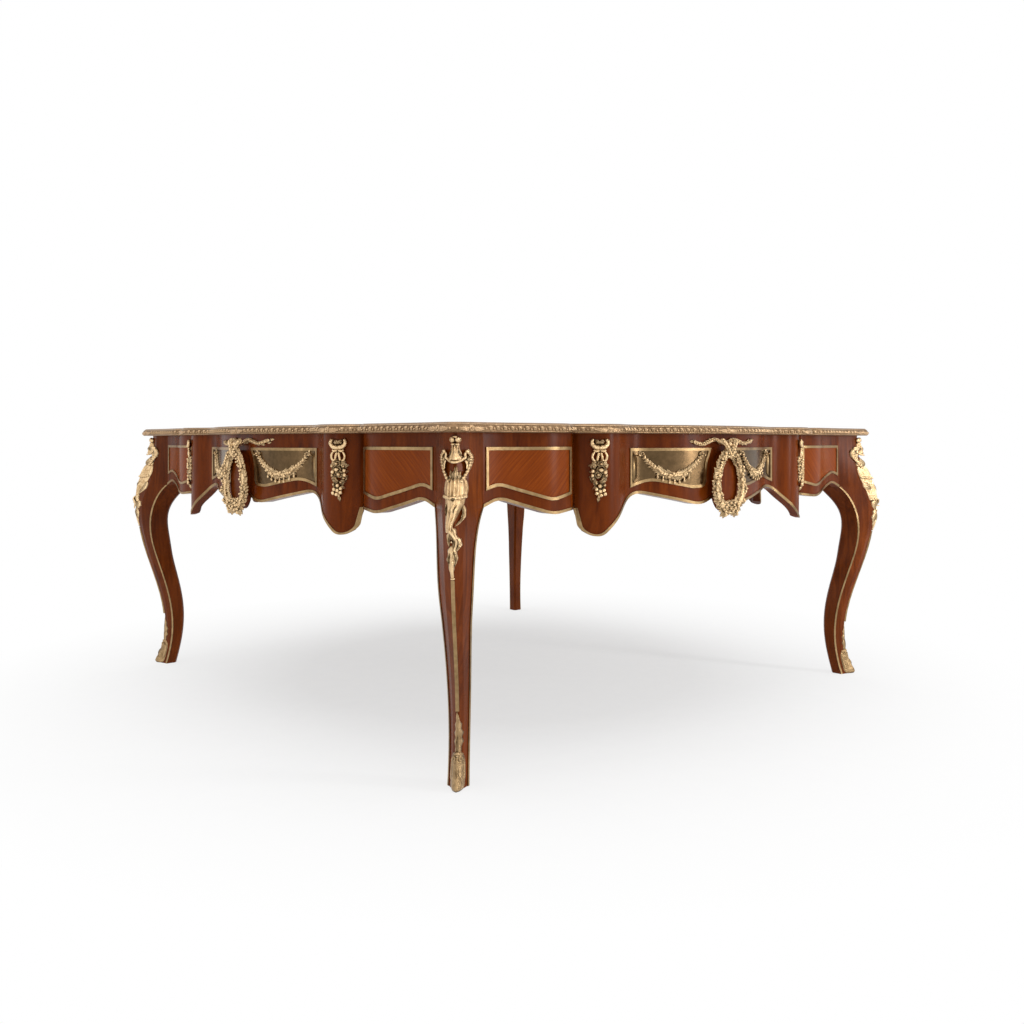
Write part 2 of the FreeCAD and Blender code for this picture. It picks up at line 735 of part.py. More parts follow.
def leg(limb, pins):
    mortise = tenon(MORTISE_CLEARANCE)
    swapped = turned(mortise.mirror(Vector(0, 0, 0), Vector(1, 0, 0)), 1)
    return without(limb, [mortise, swapped] + pins)


def edge_strip_section(station, level, side):
    """Section of the brass line beside a side arris."""
    bend = (cheek(station)[0], side * cheek(station)[1])
    arris = (station.arris, side * station.half_width)
    run = math.dist(bend, arris)
    up_face = ((bend[0] - arris[0]) / run, (bend[1] - arris[1]) / run)
    out = (abs(up_face[1]), side * abs(up_face[0]))
    corners = []
    for along, lift in ((STRIP_SINK, -STRIP_SINK), (LEG_STRIP_WIDTH, -STRIP_SINK),
                        (LEG_STRIP_WIDTH, STRIP_PROUD), (0, STRIP_PROUD)):
        corners.append(leg_point(POST_MIDDLE + arris[0] + up_face[0] * along + out[0] * lift,
                                 arris[1] + up_face[1] * along + out[1] * lift, level))
    return Part.makePolygon(corners + corners[:1])


def leg_edge_strips(limb):
    strips = []
    for side in (-1, 1):
        sections = [edge_strip_section(station, level, side) for level, station in limb_levels()]
        strips.append(loft(sections).cut(limb))
    return strips


def ridge_strip_section(level):
    ridge = POST_MIDDLE + leg_at(level).ridge
    corners = []
    for lift, side in ((-STRIP_SINK, -1), (-STRIP_SINK, 1), (RIDGE_STRIP_PROUD, 1), (RIDGE_STRIP_PROUD, -1)):
        corners.append(leg_point(ridge + lift, side * RIDGE_FLAT / 2, level))
    return Part.makePolygon(corners + corners[:1])


def ridge_strip(limb):
    """Brass line down the ridge, from the corner mount to the foot mount."""
    high = APRON_TOP - MOUNT_STATIONS[-1].level
    low = FOOT_STATIONS[-1].level
    between = [level for level, station in limb_levels() if low < level < high]
    return loft([ridge_strip_section(level) for level in [high] + between + [low]]).cut(limb)


# Mounts on the legs
def face_at(level, across):
    """Place along the diagonal of a leg's front face, at a distance across it."""
    station = leg_at(level)
    place, half_width = cheek(station)
    half_ridge = RIDGE_FLAT / 2
    if across <= half_width:
        share = max(across - half_ridge, 0) / (half_width - half_ridge)
        return station.ridge + (place - station.ridge) * share
    share = (across - half_width) / (station.half_width - half_width)
    return place + (station.arris - place) * share


def mount_point(level, across, lift):
    """A point a given height above the two front faces of the leg."""
    return leg_point(POST_MIDDLE + face_at(level, abs(across)) + lift / ROOT_TWO, across, level)


def mount_section(station, level):
    """V-shaped section of a mount that wraps the ridge, thick in the middle and thin at its edges."""
    width = station.half_width
    outline = [
        (-width, -MOUNT_SINK), (0, -MOUNT_SINK), (width, -MOUNT_SINK), (width, MOUNT_EDGE),
        (width * MOUNT_FLANK, station.proud), (0, station.proud), (-width * MOUNT_FLANK, station.proud),
        (-width, MOUNT_EDGE),
    ]
    points = [mount_point(level, across, lift) for across, lift in outline]
    return Part.makePolygon(points + points[:1])


def handle(side):
    """Scrolled side handle of a corner mount."""
    points = [mount_point(APRON_TOP - drop, side * across, HANDLE_RADIUS)
              for drop, across in (HANDLE_TOP, HANDLE_SIDE, HANDLE_FOOT)]
    path = Part.Arc(*points).toShape()
    section = Part.Wire([Part.makeCircle(HANDLE_RADIUS, points[0], path.tangentAt(path.FirstParameter))])
    return Part.Wire([path]).makePipeShell([section], True, False)


def corner_mount(limb, pins):
    sections = [mount_section(station, APRON_TOP - station.level) for station in MOUNT_STATIONS]
    body = loft(sections, straight=True)
    for side in (-1, 1):
        body = body.fuse(handle(side))
    return without(body, [limb] + pins)


def foot_mount(limb, pins):
    sections = [mount_section(station, station.level) for station in reversed(FOOT_STATIONS)]
    return without(loft(sections, straight=True), [limb] + pins)


def leg_pin(station, level):
    """Pin along the diagonal of the leg, through the thick middle of a mount, its seam off the ridge."""
    start = mount_point(level, 0, -PIN_BITE)
    axis = mount_point(level, 0, station.proud) - start
    pin = Part.makeCylinder(PIN_DIAMETER / 2, PIN_BITE + station.proud, start, axis)
    pin.rotate(start, axis, PIN_SEAM_TURN)
    return pin


def corner_mount_pins():
    stations = [MOUNT_STATIONS[i] for i in CORNER_MOUNT_PINNED]
    return [leg_pin(station, APRON_TOP - station.level) for station in stations]


def foot_mount_pins():
    return [leg_pin(FOOT_STATIONS[i], FOOT_STATIONS[i].level) for i in FOOT_MOUNT_PINNED]


# Mounts on the apron
def pendant():
    """Bow with a tapering spray, on the right lobe."""
    bow_level = APRON_TOP - PENDANT_TOP_DROP - PENDANT_BOW_HALF_HEIGHT
    spray = elevation_prism([
        Corner(PENDANT_ALONG + PENDANT_WAIST_HALF_WIDTH, bow_level),
        Corner(PENDANT_ALONG - PENDANT_WAIST_HALF_WIDTH, bow_level),
        Corner(PENDANT_ALONG - PENDANT_HALF_WIDTH, APRON_TOP - PENDANT_SHOULDER_DROP, PENDANT_HALF_WIDTH),
        Corner(PENDANT_ALONG, APRON_TOP - PENDANT_TIP_DROP, PENDANT_TIP_RADIUS),
        Corner(PENDANT_ALONG + PENDANT_HALF_WIDTH, APRON_TOP - PENDANT_SHOULDER_DROP, PENDANT_HALF_WIDTH),
    ])
    bow = oval_block(PENDANT_BOW_HALF_WIDTH, PENDANT_BOW_HALF_HEIGHT, bow_level, 0, REACH)
    shape = spray.fuse(bow.translated(Vector(PENDANT_ALONG, 0, 0)))
    return wall(centre_plan(), 0, PENDANT_PROUD, 0, APRON_TOP).common(shape)


def swag():
    """Hanging festoon across the right brass sheet: two arcs that meet in blunt ends."""
    start = SWAG_INNER_ALONG
    end = SWAG_END
    middle = (start + end) / 2
    high = APRON_TOP - SWAG_END_DROP
    low = high - SWAG_END_WIDTH
    upper = Part.Arc(on_front(start, high), on_front(middle, APRON_TOP - SWAG_TOP_DROP), on_front(end, high))
    lower = Part.Arc(on_front(start, low), on_front(middle, APRON_TOP - SWAG_LOW_DROP), on_front(end, low))
    ends = [Part.makeLine(on_front(x, low), on_front(x, high)) for x in (start, end)]
    shape = outward(face_of([upper.toShape(), lower.toShape()] + ends))
    return wall(centre_plan(), 0, SWAG_PROUD, 0, APRON_TOP).common(shape)


def wreath_ring():
    """Oval ring with bevelled edges, flat on the boss."""
    level = APRON_TOP - BOSS_DROP
    inner_width = WREATH_HALF_WIDTH - WREATH_BAND
    inner_height = WREATH_HALF_HEIGHT - WREATH_BAND
    outs = (BOSS_OUT, BOSS_OUT + WREATH_WALL, BOSS_OUT + WREATH_PROUD)
    bevels = (0, 0, WREATH_BEVEL)
    outer = Part.makeLoft([ellipse_wire(WREATH_HALF_WIDTH - bevel, WREATH_HALF_HEIGHT - bevel, level, out)
                           for out, bevel in zip(outs, bevels)], True, True)
    inner = Part.makeLoft([ellipse_wire(inner_width + bevel, inner_height + bevel, level, out)
                           for out, bevel in zip(outs, bevels)], True, True)
    return outer.cut(inner)


def ribbon():
    """Right ribbon arm of the wreath's bow, waving across the face of the apron."""
    level = APRON_TOP - BOW_DROP
    path = fitted([
        Corner(0, level - RIBBON_WIDTH / 2),
        Corner(RIBBON_MIDDLE_ALONG / 2, level + RIBBON_WAVE / 2 - RIBBON_WIDTH / 2, RIBBON_RADIUS),
        Corner(RIBBON_MIDDLE_ALONG, level - RIBBON_WAVE / 2 - RIBBON_WIDTH / 2, RIBBON_RADIUS),
        Corner(RIBBON_END_ALONG, level + RIBBON_WAVE / 2 - RIBBON_WIDTH / 2),
    ])
    band = outward(strip_face(path, 0, RIBBON_WIDTH, on_front))
    return wall(centre_plan(), 0, RIBBON_PROUD, 0, APRON_TOP).common(band)


def wreath():
    """Oval wreath on the boss, with a tassel below it and a ribbon bow above it."""
    front = BOSS_OUT + WREATH_PROUD
    tassel_level = APRON_TOP - WREATH_TASSEL_DROP
    tassel = oval_block(WREATH_TASSEL_WIDTH, WREATH_TASSEL_HEIGHT, tassel_level, BOSS_OUT, front)
    bow = oval_block(BOW_WIDTH, BOW_HEIGHT, APRON_TOP - BOW_DROP, CENTRE_OUT, front)
    shape = wreath_ring().fuse(tassel).fuse(bow)
    for arm in mirrored_pair(ribbon()):
        shape = shape.fuse(arm)
    return shape.cut(boss())


def face_pin(along, level, proud):
    """Pin through a mount on the curved face of the apron, flush with the face of the mount."""
    rod = Part.makeCylinder(PIN_DIAMETER / 2, REACH, Vector(along, 0, level), Vector(0, -1, 0))
    return wall(centre_plan(), -PIN_BITE, proud, 0, APRON_TOP).common(rod)


def pendant_pins():
    return [face_pin(PENDANT_ALONG, APRON_TOP - drop, PENDANT_PROUD) for drop in PENDANT_PIN_DROPS]


def swag_pins():
    level = APRON_TOP - SWAG_END_DROP - SWAG_END_WIDTH / 2
    places = (SWAG_INNER_ALONG + SWAG_PIN_INSET, SWAG_END - SWAG_PIN_INSET)
    return [face_pin(along, level, SWAG_PROUD) for along in places]


def wreath_pins():
    """One pin through the bow into the apron and one through the foot of the ring into the boss."""
    front = BOSS_OUT + WREATH_PROUD
    ring_level = APRON_TOP - BOSS_DROP - WREATH_HALF_HEIGHT + WREATH_BAND / 2
    pins = []
    for level, seat in ((APRON_TOP - BOW_DROP, CENTRE_OUT), (ring_level, BOSS_OUT)):
        start = Vector(0, PIN_BITE - seat, level)
        pins.append(Part.makeCylinder(PIN_DIAMETER / 2, front - seat + PIN_BITE, start, Vector(0, -1, 0)))
    return pins


# Top
def ring_corners(side_corners):
    """Closed outline seen from above, from the corners of one side, left to right."""
    corners = []
    for quarter in range(len(SIDES)):
        angle = math.radians(quarter * QUARTER_TURN)
        for c in side_corners:
            x = c.a * math.cos(angle) + c.b * math.sin(angle)
            y = c.a * math.sin(angle) - c.b * math.cos(angle)
            corners.append(Corner(x, y, c.radius))
    return corners


def top_plan():
    """Right half of the line under the edge of the top: the apron's plan with wider and softer notches."""
    notch = LOBE_ALONG + TOP_NOTCH_FROM_LOBE
    return apron_plan()[:PLAN_NOTCH] + [
        Corner(notch, LEG_FACE + TOP_NOTCH_BOW, TOP_OVERHANG + TOP_NOTCH_RADIUS),
        Corner(notch + TOP_BLOCK_FROM_NOTCH, LEG_FACE + TOP_BLOCK_BOW, TOP_BLOCK_RADIUS),
    ] + apron_plan()[-2:]


def top_outline():
    """Outer edge of the top: its plan set outward, with rounded corners over the legs."""
    corner_out = LEG_FACE + TOP_CORNER_OVERHANG
    plan = shifted(fitted(both_halves(top_plan())), TOP_OVERHANG)
    swept = [c for c in plan if abs(c.a) < LEG_JOINT - SWEEP_FROM_LEG - TOP_OVERHANG]
    shoulder = Corner(LEG_JOINT - SWEEP_FROM_LEG / 2, corner_out, SWEEP_RADIUS)
    left_shoulder = Corner(-shoulder.a, shoulder.b, shoulder.radius)
    side = [left_shoulder] + swept + [shoulder, Corner(corner_out, corner_out, TOP_CORNER_RADIUS)]
    return fitted(ring_corners(side), closed=True)


def level_wire(corners, level):
    return Part.Wire(path_edges(corners, lambda x, y: Vector(x, y, level), closed=True))


def plate(corners, low, high):
    return Part.Face(level_wire(corners, low)).extrude(Vector(0, 0, high - low))


def side_wedge():
    """The quarter of the table that lies on the front side of its two diagonals."""
    points = [Vector(0, 0, 0), Vector(REACH, -REACH, 0), Vector(-REACH, -REACH, 0)]
    return Part.Face(Part.makePolygon(points + points[:1])).extrude(Vector(0, 0, 2 * TABLE_HEIGHT))


def board_outline():
    return shifted(top_outline(), MOULDING_DEPTH, closed=True)


def edge_moulding():
    """Front length of the edge moulding: a small foot, a straight belly and a rounded upper half."""
    profile = (
        (MOULDING_FOOT, 0), (0, MOULDING_FOOT_HEIGHT), (0, MOULDING_BELLY_HEIGHT),
        (MOULDING_NECK, MOULDING_NECK_HEIGHT), (MOULDING_LIP, TOP_THICKNESS),
    )
    wires = [level_wire(shifted(top_outline(), inset, closed=True), APRON_TOP + height)
             for inset, height in profile]
    ring = Part.makeLoft(wires, True, True).cut(plate(board_outline(), APRON_TOP, TABLE_HEIGHT))
    return ring.common(side_wedge())


def field_outline(growth):
    corner = LEG_FACE - BANDING_WIDTH
    shoulder = [
        Corner(FIELD_SHOULDER, corner + FIELD_BOW, FIELD_SHOULDER_RADIUS),
        Corner(corner, corner, FIELD_CORNER_RADIUS),
    ]
    left_shoulder = Corner(-FIELD_SHOULDER, corner + FIELD_BOW, FIELD_SHOULDER_RADIUS)
    return shifted(fitted(ring_corners([left_shoulder] + shoulder), closed=True), -growth, closed=True)


def top_board(screws):
    return without(plate(board_outline(), APRON_TOP, TABLE_HEIGHT - VENEER), screws)


def top_inlay():
    """The front quarter of the field, the stringing round it and the front length of the banding."""
    low = TABLE_HEIGHT - VENEER
    field = plate(field_outline(0), low, TABLE_HEIGHT)
    lined = plate(field_outline(STRINGING_WIDTH), low, TABLE_HEIGHT)
    banding = plate(board_outline(), low, TABLE_HEIGHT).cut(lined)
    return field.common(side_wedge()), lined.cut(field), banding.common(side_wedge())


def build():
    os.makedirs("parts", exist_ok=True)

    sheets = mirrored_pair(inlay(centre_plan(), sheet_frame_outline(), SHEET))
    panel = inlay(block_plan(), wood_frame_outline(), VENEER)
    side_pins = wreath_pins()
    for pin in pendant_pins() + swag_pins():
        side_pins += mirrored_pair(pin)
    save_around("centre_apron", SIDES, [centre_apron(sheets, side_pins)])
    save_around("end_blocks", SIDES, mirrored_pair(end_block(panel)))
    save_around("veneer_panels", SIDES, mirrored_pair(panel))
    save_around("brass_sheets", SIDES, [without(sheet, side_pins) for sheet in sheets])
    save_around("edge_trim", SIDES, side_trim())
    save_around("rail", SIDES, [rail()])
    save_around("pendants", SIDES, mirrored_pair(without(pendant(), pendant_pins())))
    wood_frames = mirrored_pair(panel_frame(block_plan(), wood_frame_outline()))
    sheet_frames = mirrored_pair(panel_frame(centre_plan(), sheet_frame_outline()).cut(boss()))
    save("veneer_panel_frames", all_around(wood_frames))
    save("brass_sheet_frames", all_around(sheet_frames))
    save_around("wreath", SIDES, [without(wreath(), wreath_pins() + sheet_frames)])
    save("swags", all_around(mirrored_pair(without(swag(), swag_pins() + sheet_frames[:1]))))

    limb = leg_body()
    leg_pins = corner_mount_pins() + foot_mount_pins()
    save_around("leg", LEGS, [leg(limb, leg_pins)])
    save_around("corner_mount", LEGS, [corner_mount(limb, corner_mount_pins())])
    save_around("foot_mount", LEGS, [foot_mount(limb, foot_mount_pins())])
    save("mount_pins", all_around(side_pins + leg_pins))
    save("leg_ridge_strips", all_around([ridge_strip(limb)]))
    save("leg_edge_strips", all_around(leg_edge_strips(limb)))

    field, stringing, banding = top_inlay()
    screws = all_around([screw(place, 0) for place in screw_places()])
    save("top_board", [top_board(screws)])
    save("top_field_veneers", all_around([field]))
    save("top_banding", all_around([banding]))
    save("top_stringing", [stringing])
    save_around("edge_moulding", SIDES, [edge_moulding()])
    save("glue_blocks", all_around([glue_block()]))
    save("top_screws", screws)


build()
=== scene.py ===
import math
import random

import bmesh
import bpy
import numpy as np
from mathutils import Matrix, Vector
from mathutils.bvhtree import BVHTree


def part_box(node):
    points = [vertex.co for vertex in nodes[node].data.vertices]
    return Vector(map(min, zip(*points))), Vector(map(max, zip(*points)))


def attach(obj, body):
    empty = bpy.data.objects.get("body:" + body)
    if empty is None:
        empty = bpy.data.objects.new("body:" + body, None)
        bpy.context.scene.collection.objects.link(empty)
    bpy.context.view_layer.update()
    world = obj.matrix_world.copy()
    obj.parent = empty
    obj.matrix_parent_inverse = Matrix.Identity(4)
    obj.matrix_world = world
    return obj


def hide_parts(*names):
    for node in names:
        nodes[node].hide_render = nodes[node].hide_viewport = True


# Looks of a square low table: polished veneer, brass lines and chased gilt bronze mounts.
# Ornaments are drawn flat in millimetres, as across, level and lift, and then laid on the wood.

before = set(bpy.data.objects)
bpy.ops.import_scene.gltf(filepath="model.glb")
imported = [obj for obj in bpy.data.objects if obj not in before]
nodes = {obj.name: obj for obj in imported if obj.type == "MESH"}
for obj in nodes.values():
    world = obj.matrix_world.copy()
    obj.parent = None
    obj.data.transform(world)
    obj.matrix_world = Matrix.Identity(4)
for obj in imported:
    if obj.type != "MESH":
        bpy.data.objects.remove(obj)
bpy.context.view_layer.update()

# Units, a distance outside the table, its sides and legs, left and right, and quarter turns
MM = 0.001
TINY = 1e-9
FAR = 2.0
SIDES = ("front", "right", "back", "left")
LEGS = ("front_right", "back_right", "back_left", "front_left")
HANDS = (-1, 1)
QUARTER_TURNS = ((1, 0), (0, 1), (-1, 0), (0, -1))

# Woods, each from dark to light, their gloss, and how far rubbed edges turn light
LEG_WOOD = ((0.075, 0.0135, 0.0016), (0.175, 0.035, 0.004), (0.27, 0.061, 0.008))
APRON_WOOD = ((0.06, 0.0095, 0.001), (0.145, 0.025, 0.002), (0.235, 0.047, 0.004))
PANEL_WOOD = ((0.185, 0.033, 0.003), (0.255, 0.049, 0.004), (0.34, 0.071, 0.006))
CARCASS_WOOD = ((0.09, 0.045, 0.022), (0.22, 0.125, 0.062))
WOOD_GLOSS = 0.08
EDGE_WEAR = 0.35

# Stretch of figure and marks along x, y and z, and of the slanting lines of the panels
LEG_GRAIN = (34, 34, 3)
APRON_GRAIN = (26, 26, 5)
BANDING_GRAIN = (5, 5, 30)
CARCASS_GRAIN = (12, 12, 60)
CARCASS_PORES = (60, 60, 400)
PORE_STRETCH = 9
BRASS_MARKS = (3, 3, 3)
STEEL_MARKS = (20, 20, 20)
SLANT_ACROSS = 60.0
SLANT_ALONG = 1.6

# Metals, each from bright to dull, and then the colour of painted shade and dirt in the hollows where it
# is chased
BRASS_LINE = ((0.43, 0.285, 0.138), (0.20, 0.125, 0.056))
BRASS_SHEET = ((0.15, 0.092, 0.044), (0.08, 0.05, 0.023))
STEEL = ((0.42, 0.41, 0.40), (0.24, 0.23, 0.22))
GILDING = ((0.95, 0.69, 0.39), (0.46, 0.28, 0.125), (0.03, 0.012, 0.004))
WORN_GILDING = ((0.55, 0.37, 0.19), (0.17, 0.098, 0.042), (0.02, 0.008, 0.003))
EDGE_GROUND = ((0.30, 0.185, 0.10), (0.16, 0.095, 0.047), (0.03, 0.016, 0.007))
EDGE_RAISED = ((0.68, 0.46, 0.265), (0.36, 0.215, 0.11), (0.04, 0.02, 0.009))

# Profiles of swept sections: across and up, as shares of the half width and the height
LEAF_PROFILE = ((-1, 0), (-0.65, 0.75), (-0.3, 0.5), (0, 1), (0.3, 0.5), (0.65, 0.75), (1, 0),
                (0.5, -0.2), (-0.5, -0.2))
RIBBON_PROFILE = ((-1, 0), (-0.92, 1), (-0.6, 0.55), (0, 0.8), (0.6, 0.55), (0.92, 1), (1, 0), (0, -0.3))

# Shapes of leaves and flowers, as shares of their sizes, and the fineness of small beads and leaves
LOBE_DEPTH = 0.2
LEAF_STALK = 0.07
LEAF_CREST = (0.08, 0.98)
LEAF_LOWEST = 0.25
FAN_BEND = 0.14
PETAL_START = 0.1
PETAL_WIDTH = 1.05
PETAL_LIFT = 0.72
PETAL_DROOP = 0.1
EYE_LIFT = 0.62
EYE_RADIUS = 0.34
EYE_DEPTH = 0.42
SMALL_BEAD = {"rows": 6, "sides": 8}
SMALL_LEAF = {"rows": 9, "lobes": 2}

# Shapes of tubes, beads, scrolls and bodies, as shares of their sizes, and the level of a body's back
TUBE_END = 0.08
BEAD_CUT = 0.97
BUD_STRETCH = 1.1
SCROLL_CLOSING = 0.85
SCROLL_TAPER = 0.35
BODY_FALL = 0.75
BODY_BACK = -1.0

# Swags: insets in their box, pairs of leaves, flowers by share and radius, and drops by share
SWAG_SEED = 7
SWAG_INSET = (6, 11)
SWAG_DROP_ROOM = 9
SWAG_PAIRS = 27
SWAG_START = 0.03
SWAG_RUN = 0.94
SWAG_LEAN = (0.55, 0.95)
SWAG_UNEVEN = (0.85, 1.15)
SWAG_SPREAD = 5.0
SWAG_FLOWERS = ((0.36, 6.0), (0.44, 6.6), (0.52, 7.4), (0.6, 6.6), (0.68, 5.6), (0.27, 4.6), (0.77, 4.4))
SWAG_DROPS = (0.26, 0.34, 0.42, 0.5, 0.58, 0.68, 0.76)

# Wreaths: size, places below the top of the apron, and arms of the bow by across and drop
WREATH_HALF_WIDTH = 33.5
WREATH_HALF_HEIGHT = 46.5
WREATH_EGG = 0.2
WREATH_DROP = 77
KNOT_DROP = 13
KNOT_HEIGHT = 22
LEFT_ARM = ((-8, 14), (-25, 9), (-42, 13), (-56, 17), (-74, 13))
RIGHT_ARM = ((8, 14), (27, 9), (46, 13), (62, 15), (88, 10))

# Laurel of a wreath: steps up each side, and ranges of its leaves and berries
WREATH_SEED = 21
LAUREL_STEPS = 30
LAUREL_START = 0.02
LAUREL_RUN = 0.95
LAUREL_LENGTH = (11, 15)
LAUREL_LEAN = (0.5, 0.85)
LAUREL_LIFT = (5.0, 6.5)
BERRY_SPREAD = 7
BERRY_RADIUS = (1.7, 2.6)

# Flowers of a wreath by angle, growth and radius, and the two tufts below it
WREATH_FLOWERS = ((-1.75, 4, 9.0), (-1.2, 7, 6.0), (-0.45, 0, 7.5), (0.4, 0, 7.5), (0.0, 2, 8.0),
                  (1.3, 4, 6.5), (1.9, 2, 6.0), (-2.4, 2, 6.5), (0.85, 5, 6.0), (-0.8, 5, 6.5))
FLOWER_SEAT = 6.5
TUFT_ANGLE = 0.33
TUFT_GROWTH = 2
TUFT_FLOWERS = ((5, 36, 6.0), (14, 39, 7.5), (6, 45, 7.5), (11, 51, 6.5))
TUFT_LEAVES = ((2, 15), (9, 12), (-6, 12))

# Relief of the edge: husks, leaf motifs, bordering lines, section, and ends that stay plain
HUSK_PITCH = 13.0
ACCENT_REACH = 24.0
CORNER_ACCENT = 26.0
EDGE_LINES = ((11.3, 0.3), (1.6, 0.2))
LINE_RADIUS = 0.55
EDGE_LEVELS = (0, 2, 7, 11, 14)
EDGE_INSETS = (2.5, 0, 0, 2.5, 6.5)
EDGE_FACE = 4.5
EDGE_ENDS = (2.0, 1.9)

# Slips on the brass sheets, and steps and direction of the search for a surface
SLIP_WIDTH = 9.0
SLIP_LIFT = 1.2
FRAME_STRIP = 4.5
PLAN_STEP = 0.5 * MM
SEARCH_STEP = 4 * MM
INWARD = Vector((0, 1, 0))

# Studio: floor and its own white, reach of the shadow, and light of the sky
WHITE = (1, 1, 1, 1)
FLOOR_HALF = 14.0
FLOOR_GLOW = 0.58
SHADOW_REACH = (0.4, 1.1)
SKY_LIGHT = 0.6


# Drawing
def round_profile(sides):
    angles = np.linspace(0, 2 * np.pi, sides, endpoint=False)
    return np.stack([np.cos(angles), np.sin(angles)], 1)


def aimed(angle, length):
    """A flat step of some length in the direction of an angle."""
    return length * np.array([math.cos(angle), math.sin(angle)])


def curve(points, steps):
    """A smooth line through the points."""
    points = np.asarray(points, float)
    held = np.vstack([2 * points[0] - points[1], points, 2 * points[-1] - points[-2]])
    places = np.linspace(0, len(points) - 1, steps)
    spans = np.minimum(places.astype(int), len(points) - 2)
    t = (places - spans)[:, None]
    a, b, c, d = (held[spans + k] for k in range(4))
    square = 2 * a - 5 * b + 4 * c - d
    cube = 3 * b - a - 3 * c + d
    return (2 * b + (c - a) * t + square * t ** 2 + cube * t ** 3) / 2


def sweep(path, half_widths, heights, profile):
    """Closed sections along a path, each as wide and as high as it is told."""
    profile = np.asarray(profile, float)
    run = np.gradient(path[:, :2], axis=0)
    run /= np.linalg.norm(run, axis=1)[:, None] + TINY
    across = np.stack([run[:, 1], -run[:, 0]], 1)
    loops = np.repeat(path[:, None, :], len(profile), axis=1)
    loops[:, :, :2] += across[:, None, :] * (profile[None, :, 0] * half_widths[:, None])[:, :, None]
    loops[:, :, 2] += profile[None, :, 1] * heights[:, None]
    return loops


